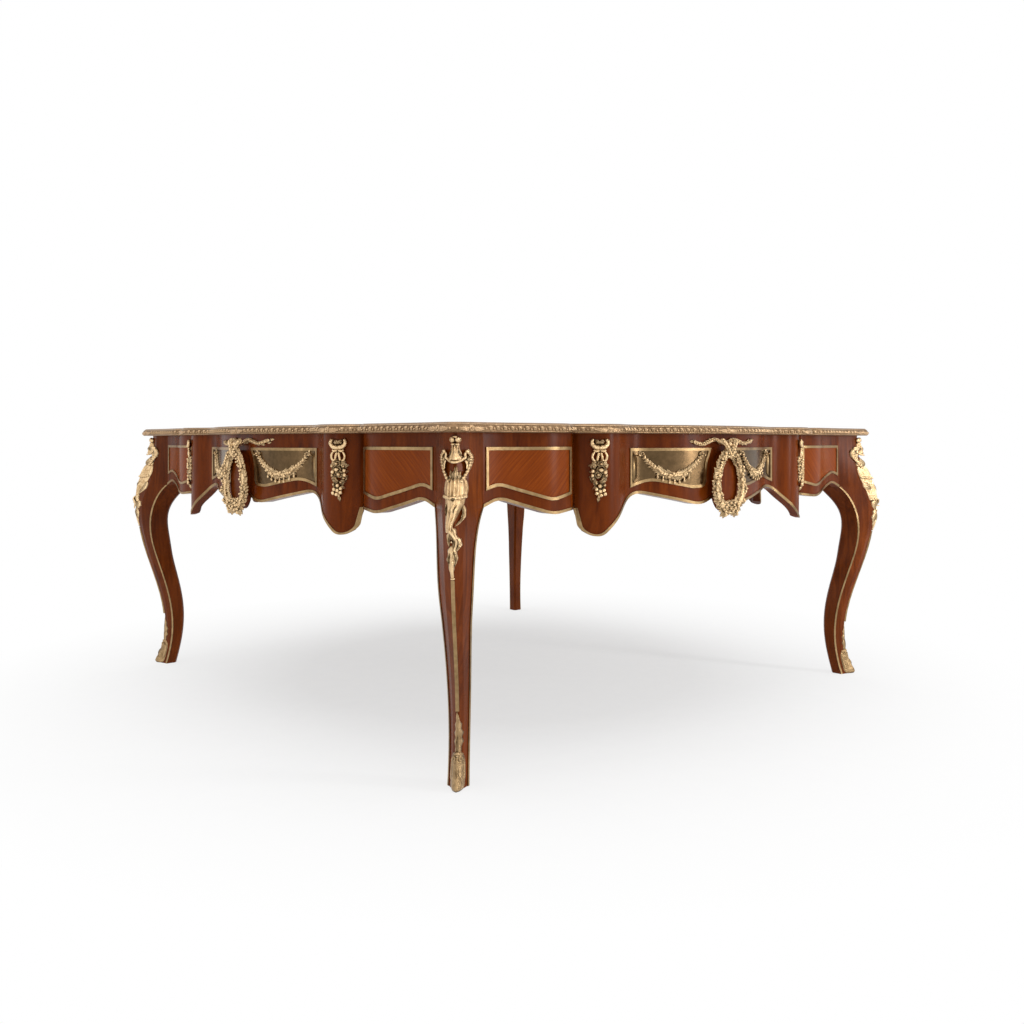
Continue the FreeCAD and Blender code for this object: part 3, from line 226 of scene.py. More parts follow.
class Relief:
    """Closed shells of one ornament, drawn flat: across, level and lift in millimetres."""

    def __init__(self, middle=0.0, top=0.0):
        self.middle = middle
        self.top = top
        self.points = []
        self.faces = []

    def at(self, across, drop, *lift):
        """A place beside the middle of the ornament and below its top."""
        return self.middle + across, self.top - drop, *lift

    def places(self, drawn, hand=1):
        """Places of a drawn line, or of its mirror image where hand is -1."""
        return [self.at(hand * across, drop, lift) for across, drop, lift in drawn]

    def skin(self, loops):
        """A shell through closed loops of equal count, capped at both ends."""
        rows, columns = loops.shape[:2]
        start = len(self.points)
        self.points.extend(loops.reshape(-1, 3).tolist())
        for row in range(rows - 1):
            near = start + row * columns
            far = near + columns
            for column in range(columns):
                after = (column + 1) % columns
                self.faces.append((near + column, near + after, far + after, far + column))
        self.faces.append(tuple(range(start, start + columns)))
        self.faces.append(tuple(range(start + (rows - 1) * columns, start + rows * columns)))

    def tube(self, points, radius, end=None, steps=14, sides=8):
        """A round cord through points, with blunt ends."""
        share = np.linspace(0, 1, steps)
        radii = radius + ((end or radius) - radius) * share
        radii = radii * np.sqrt(np.clip(1 - (2 * share - 1) ** 10, TUBE_END, 1))
        self.skin(sweep(curve(points, steps), radii, radii, round_profile(sides)))

    def stem(self, drawn, radius, end=None, steps=14, hand=1):
        """A tube along a drawn line."""
        self.tube(self.places(drawn, hand), radius, end, steps)

    def bead(self, across, level, lift, wide, high=None, deep=None, rows=7, sides=10):
        """A bead by its half sizes across, upward and outward."""
        share = np.linspace(-BEAD_CUT, BEAD_CUT, rows)
        ring = np.sqrt(1 - share ** 2)
        path = np.stack([0 * share + across, level + share * (high or wide), 0 * share + lift], 1)
        self.skin(sweep(path, wide * ring, (deep or wide) * ring, round_profile(sides)))

    def buds(self, radius, lift, *drawn):
        for across, drop in drawn:
            self.bead(*self.at(across, drop, lift), radius, radius * BUD_STRETCH, rows=6, sides=9)

    def leaf(self, base, tip, width, lift, bend=0.0, rise=0.0, lobes=3, seat=0.0, rows=13):
        """A lobed leaf; bend bows it sideways, rise lifts its tip off its seat."""
        share = np.linspace(0, 1, rows)
        base = np.asarray(base, float)
        run = np.asarray(tip, float) - base
        side = np.array([run[1], -run[0]])
        flat = base + run * share[:, None] + side * (bend * np.sin(np.pi * share))[:, None]
        path = np.column_stack([flat, seat + rise * share ** 2])
        waves = 1 + LOBE_DEPTH * np.cos(2 * np.pi * lobes * share + np.pi)
        outline = np.sin(np.pi * share ** 0.7) ** 0.8 * waves
        half_widths = width / 2 * np.maximum(outline, LEAF_STALK)
        crest = np.sin(np.pi * np.linspace(*LEAF_CREST, rows))
        self.skin(sweep(path, half_widths, lift * np.maximum(crest, LEAF_LOWEST), LEAF_PROFILE))

    def spray(self, width, lift, *leaves, **shape):
        """Leaves of one size, each drawn by its base, its tip and its bend."""
        for base, tip, bend in leaves:
            self.leaf(self.at(*base), self.at(*tip), width, lift, bend, **shape)

    def fan(self, width, lift, *leaves):
        """Leaves of one size, each drawn by its base and its tip, bowed by where it points."""
        for base, tip in leaves:
            self.spray(width, lift, (base, tip, math.copysign(FAN_BEND, tip[0] - base[0])), lobes=2)

    def ribbon(self, points, width, end_width, lift, steps):
        """A band with raised borders that narrows along its points."""
        half_widths = np.linspace(width, end_width, steps) / 2
        self.skin(sweep(curve(points, steps), half_widths, np.full(steps, lift), RIBBON_PROFILE))

    def flower(self, across, level, radius, lift, petals=6, turn=0.0, seat=0.0):
        """Petals round a raised eye."""
        middle = np.array([across, level])
        for petal in range(petals):
            reach = aimed(turn + 2 * math.pi * petal / petals, radius)
            self.leaf(middle + reach * PETAL_START, middle + reach, radius * PETAL_WIDTH,
                      lift * PETAL_LIFT, rise=-PETAL_DROOP * lift, lobes=1, seat=seat, rows=8)
        self.bead(across, level, seat + lift * EYE_LIFT, radius * EYE_RADIUS, deep=lift * EYE_DEPTH,
                  **SMALL_BEAD)

    def scroll(self, across, level, radius, turns, start, thickness, lift, hand=1, steps=30):
        """A spiral that winds in from its outer end."""
        share = np.linspace(0, 1, steps)
        angle = start + hand * 2 * np.pi * turns * share
        reach = radius * (1 - SCROLL_CLOSING * share)
        x, y = across + reach * np.cos(angle), level + reach * np.sin(angle)
        path = np.stack([x, y, 0 * share + lift], 1)
        radii = thickness * (1 - SCROLL_TAPER * share)
        self.skin(sweep(path, radii, radii, round_profile(8)))

    def body(self, stations, flutes, flute_depth, columns=25, steps=30):
        """A rounded, fluted body down through stations of drop, middle, half width and lift."""
        drop, middle, half_width, lift = curve(stations, steps).T
        share = np.linspace(-1, 1, columns)
        crown = 1 - BODY_FALL * np.abs(share) ** 3
        groove = flute_depth * np.cos(np.pi * flutes * share) * (1 - share ** 4)
        across = middle[:, None] + half_width[:, None] * share
        level = (self.top - drop)[:, None] + 0 * share
        front = np.stack([across, level, lift[:, None] * crown + groove], 2)
        back = front[:, (columns - 1, columns // 2, 0), :].copy()
        back[:, :, 2] = BODY_BACK
        self.skin(np.concatenate([front, back], axis=1))


def joined(*laid_reliefs):
    """Points and faces of reliefs, each laid in place by its own function."""
    points, faces = [], []
    for relief, place in laid_reliefs:
        start = len(points)
        points.extend(place(np.asarray(relief.points)))
        faces.extend(tuple(start + corner for corner in face) for face in relief.faces)
    return np.asarray(points), faces


def with_mirror(points, faces):
    """Both halves of an ornament, from its right half."""
    count = len(points)
    flipped = [tuple(count + corner for corner in reversed(face)) for face in faces]
    return np.vstack([points, points * (-1, 1, 1)]), faces + flipped


def turned(points, quarter):
    """Points carried round the table by quarter turns."""
    x, y, z = np.asarray(points).T
    cosine, sine = QUARTER_TURNS[quarter]
    return np.stack([x * cosine - y * sine, x * sine + y * cosine, z], 1)


def add_object(name, data):
    made = bpy.data.objects.new(name, data)
    bpy.context.scene.collection.objects.link(made)
    return made


def add_piece(name, points, faces, material, replaced=()):
    mesh = bpy.data.meshes.new(name)
    mesh.from_pydata(points.tolist(), [], faces)
    form = bmesh.new()
    form.from_mesh(mesh)
    bmesh.ops.recalc_face_normals(form, faces=form.faces)
    form.to_mesh(mesh)
    form.free()
    mesh.shade_smooth()
    mesh.materials.append(material)
    piece = add_object(name, mesh)
    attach(piece, "root")
    if replaced:
        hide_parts(*replaced)


def add_around(name, points, faces, material, ends=SIDES, replaced=None):
    """Four copies of a piece, one for each side or each leg."""
    for quarter, end in enumerate(ends):
        plain_mount = [f"{replaced}_{end}"] if replaced else []
        add_piece(f"{name}_{end}", turned(points, quarter), faces, material, plain_mount)


# Laying ornaments on the wood
def surface_of(*names):
    vertices, faces = [], []
    for name in names:
        start = len(vertices)
        mesh = nodes[name].data
        vertices.extend(vertex.co.copy() for vertex in mesh.vertices)
        faces.extend([start + corner for corner in polygon.vertices] for polygon in mesh.polygons)
    return BVHTree.FromPolygons(vertices, faces)


def landing(tree, start, inward, step, tries=24):
    """The point of a surface that a line meets, searched step by step where the line misses it."""
    for attempt in range(tries):
        hit = tree.ray_cast(start + step * attempt, inward)[0]
        if hit is not None:
            return hit - step * attempt
    return None


def onto_front(tree, fallback):
    """Lays an ornament on the front side of the table, lifted straight outward."""
    upward = Vector((0, 0, SEARCH_STEP))

    def place(points):
        laid = []
        for across, level, lift in points * MM:
            hit = landing(tree, Vector((across, -FAR, level)), INWARD, upward)
            out = fallback if hit is None else hit.y
            laid.append((across, out - lift, level))
        return laid
    return place


def onto_plane(out):
    """Lays an ornament on an upright plane at the front of the table."""
    return lambda points: [(across, out - lift, level) for across, level, lift in points * MM]


def onto_leg(tree):
    """Lays an ornament over the ridge of the front right leg, lifted along its diagonal."""
    outward = Vector((1, -1, 0)).normalized()
    right = Vector((1, 1, 0)).normalized()
    up = Vector((0, 0, 1))

    def place(points):
        laid = []
        for across, level, lift in points * MM:
            start = outward * FAR + right * across + up * max(level, MM)
            hit = landing(tree, start, -outward, -right * math.copysign(MM, across))
            laid.append(hit + outward * lift + up * (level - hit.z))
        return laid
    return place


def points_at(along, places, line):
    """Points of a plan line at distances along it."""
    return np.stack([np.interp(along, places, line[:, k]) for k in (0, 1)], 1)


def plan_line(name, level, start, end):
    """Distances along a piece's front face at one level, and the points there."""
    tree = surface_of(name)
    found = []
    for across in np.arange(start, end, PLAN_STEP):
        hit = tree.ray_cast(Vector((across, -FAR, level)), INWARD)[0]
        if hit is not None:
            found.append((hit.x, hit.y))
    found = np.asarray(found)
    lengths = np.concatenate([[0], np.cumsum(np.linalg.norm(np.diff(found, axis=0), axis=1))])
    places = np.linspace(0, lengths[-1], int(lengths[-1] / MM) + 1)
    return places, points_at(places, lengths, found)


def along_line(places, line, bottom=0.0, levels=(0, 1), insets=(0, 0)):
    """Lays a relief along a curved face, which is set back by insets at levels."""
    run = np.gradient(line, axis=0)
    run /= np.linalg.norm(run, axis=1)[:, None]

    def place(points):
        along = points[:, 0] * MM
        inset = np.interp(points[:, 1], levels, insets)
        spot = points_at(along, places, line)
        heading = points_at(along, places, run)
        outward = np.stack([heading[:, 1], -heading[:, 0]], 1)
        plan = spot + outward * ((points[:, 2] - inset) * MM)[:, None]
        return np.column_stack([plan, bottom + points[:, 1] * MM])
    return place


def side_box(node):
    """Box of a node's part on the right half of the front side, in millimetres."""
    spots = [vertex.co for vertex in nodes[node].data.vertices]
    found = np.asarray([spot for spot in spots if spot.x > 0 and spot.y < -spot.x])
    return found.min(0) / MM, found.max(0) / MM


# Corner and foot mounts: lines are across, drop and lift; stations are drop, middle, half width and lift
def draw_bell(form):
    """Two knobs under a button, then a fluted bell with a rolled rim and three leaves."""
    for hand in HANDS:
        form.bead(*form.at(hand * 4.1, 5.6, 4.2), 4.3, 4.8, 5.4)
        form.bead(*form.at(hand * 3.0, 12.0, 3.6), 3.4, 2.2, 5.0)
    form.bead(*form.at(0, 1.8, 4.6), 3.4, 1.9, 4.0)
    bell = [(13, 0, 5.2, 6.5), (17, 0, 6.0, 8.0), (22, 0, 7.6, 9.0),
            (28, 0, 9.8, 9.5), (32.5, 0, 11.0, 10.0), (35, 0, 9.6, 5.5)]
    form.body(bell, flutes=3, flute_depth=1.4, columns=41)
    rim = [(-11.2, 30, 4), (-8, 34, 8.5), (0, 36, 11), (8, 34, 8.5), (11.2, 30, 4)]
    form.stem(rim, 1.7, steps=20)
    form.spray(5.0, 12.5, ((0, 14), (0, 34), 0.0))
    form.spray(4.4, 10.5, ((-2.5, 16), (-8, 33), 0.06), ((2.5, 16), (8, 33), -0.06))


def draw_handles(form):
    """Beaded, leafy handles from the rim of the bell down to the cup."""
    branch = [(10, 32, 5), (13.5, 30, 5.5), (13.2, 25, 6), (16, 21.5, 6)]
    handle = [(16.6, 22, 6), (20.4, 27, 5.5), (20.8, 34, 5), (18.6, 43, 5), (14.4, 52, 5), (9.5, 61, 6)]
    tendril = [(13.4, 33, 5), (15.6, 39, 5), (15.4, 46, 5)]
    for hand in HANDS:
        form.stem(branch, 1.9, end=1.7, steps=16, hand=hand)
        form.stem(handle, 2.2, end=1.8, steps=26, hand=hand)
        for across, level, lift in curve(form.places(handle, hand), 12):
            form.bead(across, level, lift + 1.4, 2.5, 1.9, 2.4, **SMALL_BEAD)
        form.bead(*form.at(hand * 16.6, 21.5, 6.5), 3.2, 3.2, 3.6)
        form.stem(tendril, 1.6, end=1.4, steps=12, hand=hand)
        form.spray(5.6, 7.0, ((hand * 8, 62), (hand * 13, 49), hand * 0.12))
        form.spray(6.6, 6.5, ((hand * 16.8, 43), (hand * 17.2, 21), hand * 0.06))


def draw_cup(form):
    """A flame of three leaves in a gadrooned cup, and a beaded collar under the cup."""
    form.spray(9.6, 10.5, ((0.6, 63), (1.8, 40), 0.0))
    form.spray(7.0, 9.0, ((-4.8, 62), (-6.6, 46), 0.08), ((5.8, 62), (7.6, 47), -0.08))
    cup = [(57, 1, 11.0, 5.0), (61, 1, 14.4, 8.5), (67, 1.2, 15.8, 10.5),
           (74, 1.2, 16.0, 11.5), (81, 1, 14.8, 12.0), (84, 0.6, 13.4, 9.5)]
    form.body(cup, flutes=6, flute_depth=1.7, columns=61)
    collar = [(-14.6, 81.4, 5.5), (-9, 82.2, 11), (0, 82.6, 13), (10, 82.2, 11.5), (15.2, 81.4, 6)]
    form.stem(collar, 2.0, steps=26)
    for across, level, lift in curve(form.places(collar), 11):
        form.bead(across, level, lift + 1.0, 1.9, 2.3, 2.2, **SMALL_BEAD)


def draw_twisted_leaves(form):
    """Leaves on a stalk that narrows, twists across the ridge and ends in a long ringed tip."""
    stalk = [(80, 0.4, 14.2, 10.5), (92, 0.2, 12.4, 10.5), (100, -1.4, 10.2, 10.5),
             (110, -3.4, 7.6, 10.0), (118, -5.2, 6.0, 9.5), (128, -4.6, 5.2, 8.0)]
    form.body(stalk, flutes=3, flute_depth=1.4)
    form.spray(5.4, 12.6, ((-9.5, 88), (-8.0, 112), 0.05), ((-4.0, 88), (-4.6, 121), -0.04),
               ((2.5, 88), (-2.8, 116), 0.05), ((8.5, 87), (0.5, 108), 0.06))
    form.spray(5.2, 8.5, ((11.5, 92), (2.6, 120), -0.2))
    form.spray(11.0, 10.0, ((-9.5, 116), (3.0, 150), -0.14), lobes=4, rows=17)
    form.spray(7.5, 9.0, ((4.0, 122), (-3.5, 147), 0.2), ((6.0, 134), (3.0, 153), -0.2))
    twist = [(-8, 122, 8), (1, 130, 10.5), (6, 140, 8.5), (3, 152, 6.5)]
    form.stem(twist, 1.6, end=1.2, steps=20)
    form.spray(13.6, 6.5, ((0.5, 144), (-1.2, 184), 0.02), rows=19)
    form.spray(4.4, 7.5, ((2.6, 150), (3.0, 172), -0.1), ((-2.6, 152), (-3.6, 174), 0.1))
    tip = [(-0.6, 164, 3), (-0.6, 177, 2.6), (0, 189.5, 1.2)]
    form.stem(tip, 2.8, end=2.2, steps=16)
    ring = [(-3.0, 188.5, 1.6), (0, 189, 3.0), (3.0, 188.5, 1.6)]
    form.stem(ring, 1.2, steps=10)


def corner_mount(top):
    """Chute of a leg: knobs, a bell with leafy handles, a flame, a gadrooned cup and twisted leaves."""
    form = Relief(top=top)
    draw_bell(form)
    draw_handles(form)
    draw_cup(form)
    draw_twisted_leaves(form)
    return form


def foot_mount(top):
    """Sabot of a leg: a leaf that climbs the ridge from a gadrooned toe cap."""
    form = Relief(top=top)
    form.spray(11.4, 4.2, ((0, 62), (-1.0, 1), 0.03), lobes=5, rows=21)
    form.spray(6.0, 5.2, ((0.6, 64), (3.4, 24), -0.06))
    form.spray(5.5, 4.8, ((-0.6, 63), (-3.6, 34), 0.06))
    form.bead(*form.at(0, 58.5, 3.0), 3.4, 3.0, 3.2)
    toe_cap = [(57, 0, 4.2, 3.0), (60, 0, 7.0, 5.0), (67, 0, 8.9, 6.4), (78, 0, 9.3, 7.0),
               (88, 0, 9.5, 9.5), (96, 0, 9.8, 11.8), (101, 0, 9.4, 11.6), (104.6, 0, 8.2, 8.5)]
    form.body(toe_cap, flutes=3, flute_depth=0.8, columns=37, steps=34)
    rib = [(8.6, 66, 3.2), (9.2, 80, 4.0), (9.4, 94, 5.0)]
    for hand in HANDS:
        form.scroll(*form.at(hand * 5.6, 64.5), radius=3.0, turns=1.25, start=math.pi / 2, thickness=1.2,
                    lift=6.0, hand=hand)
        form.stem(rib, 1.0, end=1.3, hand=hand)
    form.spray(6.4, 10.5, ((0.5, 70), (0.8, 97), 0.0), rise=3.0, lobes=1)
    return form


# Pendants
def draw_crescent(form):
    """Crescent bow with curls, outer loops and strands below it."""
    horn = [(0, 15.4, 5), (7, 14.2, 5), (11.6, 8.6, 5), (9.4, 1.6, 4)]
    curl = [(0, 19, 4), (6, 20.6, 5), (8.8, 18, 4)]
    loop = [(7, 21, 4), (10.4, 27, 4.5), (9.6, 33, 4), (5.5, 36, 4)]
    strand = [(1.2, 22, 4), (3.0, 29, 5), (3.6, 36, 4)]
    for hand in HANDS:
        form.stem(horn, 4.2, end=2.4, steps=20, hand=hand)
        form.spray(6.4, 8.4, ((hand * 2, 14), (hand * 9.6, 3.0), hand * -0.22), lobes=1)
        form.stem(curl, 2.3, end=1.9, steps=12, hand=hand)
        form.stem(loop, 1.9, steps=16, hand=hand)
        form.stem(strand, 2.1, end=1.8, steps=12, hand=hand)
    form.bead(*form.at(0, 15.6, 5), 4.0, 3.4, 4.6)


def draw_bouquet(form):
    """Leaves, rosettes and buds that narrow to a drop."""
    form.fan(8.2, 6.2, ((-3, 39), (-16, 41)), ((3, 38), (16.6, 42)), ((-3, 38), (-11.5, 34)),
             ((3, 37.5), (11, 34.5)))
    form.flower(*form.at(-1.2, 40), 6.2, 9.0, turn=0.3)
    form.fan(7.0, 6.4, ((-4, 49), (-14, 49.5)), ((6, 48.5), (15.4, 51)), ((-2, 46), (-12.2, 56.5)),
             ((8, 56), (15.6, 59.5)))
    form.buds(2.9, 6.0, (-1.5, 49), (-7.4, 52.6), (10.4, 50.5), (10.8, 57))
    for across, drop in ((-9, 43.5), (9.2, 44), (-8.5, 57.5), (0.5, 48.5), (9.5, 62)):
        form.flower(*form.at(across, drop), 5.4, 8.0, turn=0.4)
    form.flower(*form.at(2.6, 56), 7.0, 9.6, petals=7, turn=0.8)
    form.fan(7.2, 8.8, ((-8.5, 61.5), (2.0, 67.5)), ((-4, 59), (-12.4, 64)), ((5, 63), (12.4, 67)))
    form.flower(*form.at(5.4, 68.4), 4.8, 8.2, turn=0.2)
    form.flower(*form.at(-6.0, 71.5), 4.8, 8.2, turn=0.6)
    form.fan(5.4, 6.0, ((4, 72), (10.6, 77)), ((-4, 74), (-10.4, 79.5)), ((0, 74), (1.0, 83)))
    form.buds(2.9, 5.4, (0.2, 73), (5.0, 77.5), (-5.4, 79), (-0.2, 80.5), (4.6, 83.5), (-7.0, 84.6),
              (-1.4, 86.4))
    form.stem([(0, 80, 4), (1.4, 91, 3)], 2.4, end=1.8)
    form.spray(4.8, 5.0, ((1.0, 87.5), (1.8, 97.5), 0.0), lobes=1)


def pendant(middle, top):
    """Crescent bow over a narrowing bouquet."""
    form = Relief(middle, top)
    draw_crescent(form)
    draw_bouquet(form)
    return form


# Swags
def draw_swag_leaves(form, at, draw):
    """Pairs of leaves that point to the ends of the swag, with a berry on each pair."""
    for step in range(SWAG_PAIRS):
        share = SWAG_START + SWAG_RUN * step / (SWAG_PAIRS - 1)
        spot = at(share)
        run = at(share + 0.02) - at(share - 0.02)
        heading = math.atan2(run[1], run[0]) + (math.pi if share > 0.5 else 0)
        fullness = math.sin(math.pi * share) ** 1.6
        for hand in HANDS:
            angle = heading + math.pi + hand * draw.uniform(*SWAG_LEAN)
            length = (5.0 + 7.0 * fullness) * draw.uniform(*SWAG_UNEVEN)
            form.leaf(spot, spot + aimed(angle, length), width=3.4 + 3.0 * fullness,
                      lift=3.4 + 2.4 * fullness, bend=hand * 0.12, **SMALL_LEAF)
        offset = draw.uniform(-SWAG_SPREAD, SWAG_SPREAD) * fullness
        form.bead(spot[0], spot[1] + offset, 4.2, wide=1.6 + 1.2 * fullness, deep=2.8, **SMALL_BEAD)


def swag(start, end, high, low):
    """Festoon of leaves and flowers, thickest in the middle, with small drops below it."""
    draw = random.Random(SWAG_SEED)
    form = Relief()
    middle = (start + end) / 2
    half = (end - start) / 2

    def at(share):
        reach = 2 * share - 1
        return np.array([middle + half * reach, low + (high - low) * reach ** 2])

    cord = [(*at(share), 2.2) for share in np.linspace(0.02, 0.98, 13)]
    form.tube(cord, 2.4, steps=40)
    draw_swag_leaves(form, at, draw)
    for share, radius in SWAG_FLOWERS:
        form.flower(*at(share), radius, lift=7.0, turn=draw.uniform(0, 1))
    for share in SWAG_DROPS:
        across, level = at(share)
        thread = [(across, level - 4, 2.4), (across + 0.6, level - 10, 2.4)]
        form.tube(thread, 1.0, steps=8, sides=6)
        form.bead(across + 0.8, level - 11.5, 2.6, 1.6, 2.7, 2.2, **SMALL_BEAD)
    for share, hand in zip((0.0, 1.0), HANDS):
        across, level = at(share)
        form.flower(across - hand * 2, level - 1, 4.2, 7.2, petals=5)
        for reach, climb in ((3, 7), (6, -5)):
            tip = (across + hand * reach, level + climb)
            form.leaf((across, level), tip, 3.4, 3.0, lobes=2)
    return form


# Wreaths
def draw_laurel(form, at, hand, draw):
    """Leaves in threes from the foot of a wreath up one side, with a berry on each three."""
    for step in range(LAUREL_STEPS):
        angle = hand * math.pi * (LAUREL_START + LAUREL_RUN * step / (LAUREL_STEPS - 1))
        fullness = 1.1 - 0.35 * step / LAUREL_STEPS
        run = at(angle + hand * 0.05) - at(angle)
        heading = math.atan2(run[1], run[0])
        for lean in (-1, 0, 1):
            length = draw.uniform(*LAUREL_LENGTH) * fullness
            aim = heading + lean * draw.uniform(*LAUREL_LEAN)
            spot = at(angle, lean * -3.0 * hand)
            tip = spot + aimed(aim, length)
            form.leaf(spot, tip, width=6.4 * fullness, lift=draw.uniform(*LAUREL_LIFT), bend=lean * 0.12,
                      rise=1.0, seat=3.0 if lean else 5.0)
        across, level = at(angle, draw.uniform(-BERRY_SPREAD, BERRY_SPREAD))
        form.bead(across, level, 9.6, wide=draw.uniform(*BERRY_RADIUS), deep=2.6, **SMALL_BEAD)


def draw_tuft(form, base, level, hand, draw):
    """Flowers, leaves and a bud below the foot of a wreath on one side."""
    for across, drop, radius in TUFT_FLOWERS:
        form.flower(hand * across, level - drop, radius, lift=8.0, turn=draw.uniform(0, 1),
                    seat=FLOWER_SEAT)
    for reach, drop in TUFT_LEAVES:
        tip = base + (hand * reach, -drop)
        form.leaf(base, tip, 7.5, 8.0, bend=hand * 0.1, seat=2.0)
    form.bead(base[0] + hand * 1.5, base[1] - 9, 8.0, 2.8, 3.4, 3.4)


def wreath_ring(level):
    """Egg-shaped garland of laurel, berries and flowers, with two tufts."""
    draw = random.Random(WREATH_SEED)
    form = Relief()

    def at(angle, growth=0.0):
        width = (WREATH_HALF_WIDTH + growth) * (1 + WREATH_EGG * math.cos(angle))
        height = WREATH_HALF_HEIGHT + growth
        return np.array([width * math.sin(angle), level - height * math.cos(angle)])

    for hand in HANDS:
        core = [(*at(hand * angle), 4.5) for angle in np.linspace(0, math.pi, 15)]
        form.tube(core, 6.5, end=4.5, steps=44, sides=10)
        draw_laurel(form, at, hand, draw)
    for angle, growth, radius in WREATH_FLOWERS:
        form.flower(*at(angle, growth), radius, lift=7.6, turn=draw.uniform(0, 1), seat=FLOWER_SEAT)
    for hand in HANDS:
        draw_tuft(form, at(hand * TUFT_ANGLE, TUFT_GROWTH), level, hand, draw)
    return form


def wreath_knot(level, drop):
    """Two flowered strands that run down to the wreath from the arms of the bow, as a V."""
    form = Relief()
    for hand in HANDS:
        strand = [(hand * 18, level, 4), (hand * 12, level - 5, 6), (hand * 5.5, level - drop * 0.7, 7),
                  (hand, level - drop, 7)]
        form.tube(strand, 3.6, end=3.2, steps=24)
        for across, spot_level, lift in curve(strand, 8):
            for reach, climb, bend in ((5.5, 2.5, 0.1), (-2.5, 5.5, -0.1)):
                tip = (across + hand * reach, spot_level + climb)
                form.leaf((across, spot_level), tip, 4.8, 4.0, bend, seat=lift, **SMALL_LEAF)
            form.bead(across, spot_level, lift + 3.2, 2.3, 2.3, 2.6, **SMALL_BEAD)
        form.flower(hand * 17, level + 1, 6.0, 6.5, turn=0.3, seat=3.5)
    form.bead(0, level - 4, 5.0, 4.2, 4.2, 5.0)
    form.flower(0, level - drop, 6.5, 6.5, turn=0.6, seat=7.0)
    return form


def ribbon_arm(points, count=15):
    """One arm of the bow, as a ribbon with small leaves and beads along it."""
    form = Relief()
    line = curve(points, count)
    form.ribbon([(*point, 1.8) for point in points], width=6.5, end_width=4.6, lift=3.2, steps=34)
    for step, (spot, ahead) in enumerate(zip(line, line[1:])):
        run = ahead - spot
        side = np.array([run[1], -run[0]]) * (0.55 if step % 2 else -0.55)
        form.leaf(spot, spot + run * 1.1 + side, 5.0, 5.0, bend=0.1, **SMALL_LEAF)
        form.bead(*spot, 3.6, wide=1.7, deep=2.4, **SMALL_BEAD)
    form.leaf(line[-1], line[-1] + (line[-1] - line[-2]) * 1.2, 5.0, 4.0, lobes=2)
    return form


# Relief of the edge, and slips of the brass sheets
def draw_husk(form, across):
    """Two leaves round a bead, and a smaller bead half way to the next husk."""
    for hand in HANDS:
        base = (across + hand, 2.6)
        tip = (across + hand * 3.8, 9.4)
        form.leaf(base, tip, 3.6, 2.0, bend=hand * -0.2, **SMALL_LEAF)
    form.bead(across, 7.4, 0.2, 1.7, 2.1, 2.0, **SMALL_BEAD)
    form.bead(across + HUSK_PITCH / 2, 5.0, 0.1, 1.4, 1.4, 1.7, **SMALL_BEAD)


def draw_accent(form, across):
    """A rosette between two long leaves on stems, with a bead beyond each."""
    form.flower(across, 5.8, 5.2, 2.2)
    for hand in HANDS:
        base = (across + hand * 4, 5.4)
        tip = (across + hand * 22, 6.2)
        form.leaf(base, tip, 7.2, 2.1, bend=hand * 0.06, lobes=4, rows=15)
        drawn = ((5, 2.8, 0.4), (14, 3.0, 0.8), (22, 4.6, 0.4))
        stem = [(across + hand * reach, level, lift) for reach, level, lift in drawn]
        form.tube(stem, 0.9, end=0.7, steps=12, sides=6)
        form.bead(across + hand * 24, 5.6, 0.3, 1.7, 1.7, 1.5, **SMALL_BEAD)


def edge_relief(length, accents):
    """Band of husks and beads between two lines, with leaf motifs where the outline turns."""
    form = Relief()
    count = int(length / HUSK_PITCH)
    for step in range(count):
        across = (step + 0.5) * length / count
        if min(abs(across - accent) for accent in accents) >= ACCENT_REACH:
            draw_husk(form, across)
    for accent in accents:
        draw_accent(form, accent)
    for level, lift in EDGE_LINES:
        line = [(across, level, lift) for across in (1, length / 2, length - 1)]
        form.tube(line, LINE_RADIUS, steps=int(length / 3), sides=6)
    return form


def sheet_slip(outer, low, high):
    """Flat slip inside the lobe end of a brass sheet's frame, mitred at both ends."""
    form = Relief()
    inner = outer - SLIP_WIDTH
    ends = ((low, low + SLIP_WIDTH), (high, high - SLIP_WIDTH))
    loops = [[(outer, near, 0.0), (outer, near, SLIP_LIFT), (inner, far, SLIP_LIFT), (inner, far, 0.0)]
             for near, far in ends]
    form.skin(np.array(loops))
    return form


# Finishes
class Shading:
    """A tree of shader nodes under construction."""

    def __init__(self, tree):
        self.tree = tree

    def node(self, kind, inputs=(), **settings):
        made = self.tree.nodes.new("ShaderNode" + kind)
        for key, value in settings.items():
            setattr(made, key, value)
        for key, value in dict(inputs).items():
            self.feed(made.inputs[key], value)
        return made

    def feed(self, socket, value):
        if isinstance(value, bpy.types.NodeSocket):
            self.tree.links.new(value, socket)
        else:
            socket.default_value = value

    def math(self, operation, first, second=0.0):
        return self.node("Math", {0: first, 1: second}, operation=operation).outputs[0]

    def span(self, share, low, high, start=0.0, end=1.0):
        """Spreads what runs from start to end between low and high."""
        made = self.node("MapRange", {"Value": share, "From Min": start, "From Max": end,
                                      "To Min": low, "To Max": high})
        return made.outputs[0]

    def seen(self):
        """1 for what is seen straight, mirrored or through glass, and 0 for light."""
        rays = self.node("LightPath").outputs
        share = self.math("MAXIMUM", rays["Is Camera Ray"], rays["Is Glossy Ray"])
        return self.math("MAXIMUM", share, rays["Is Transmission Ray"])


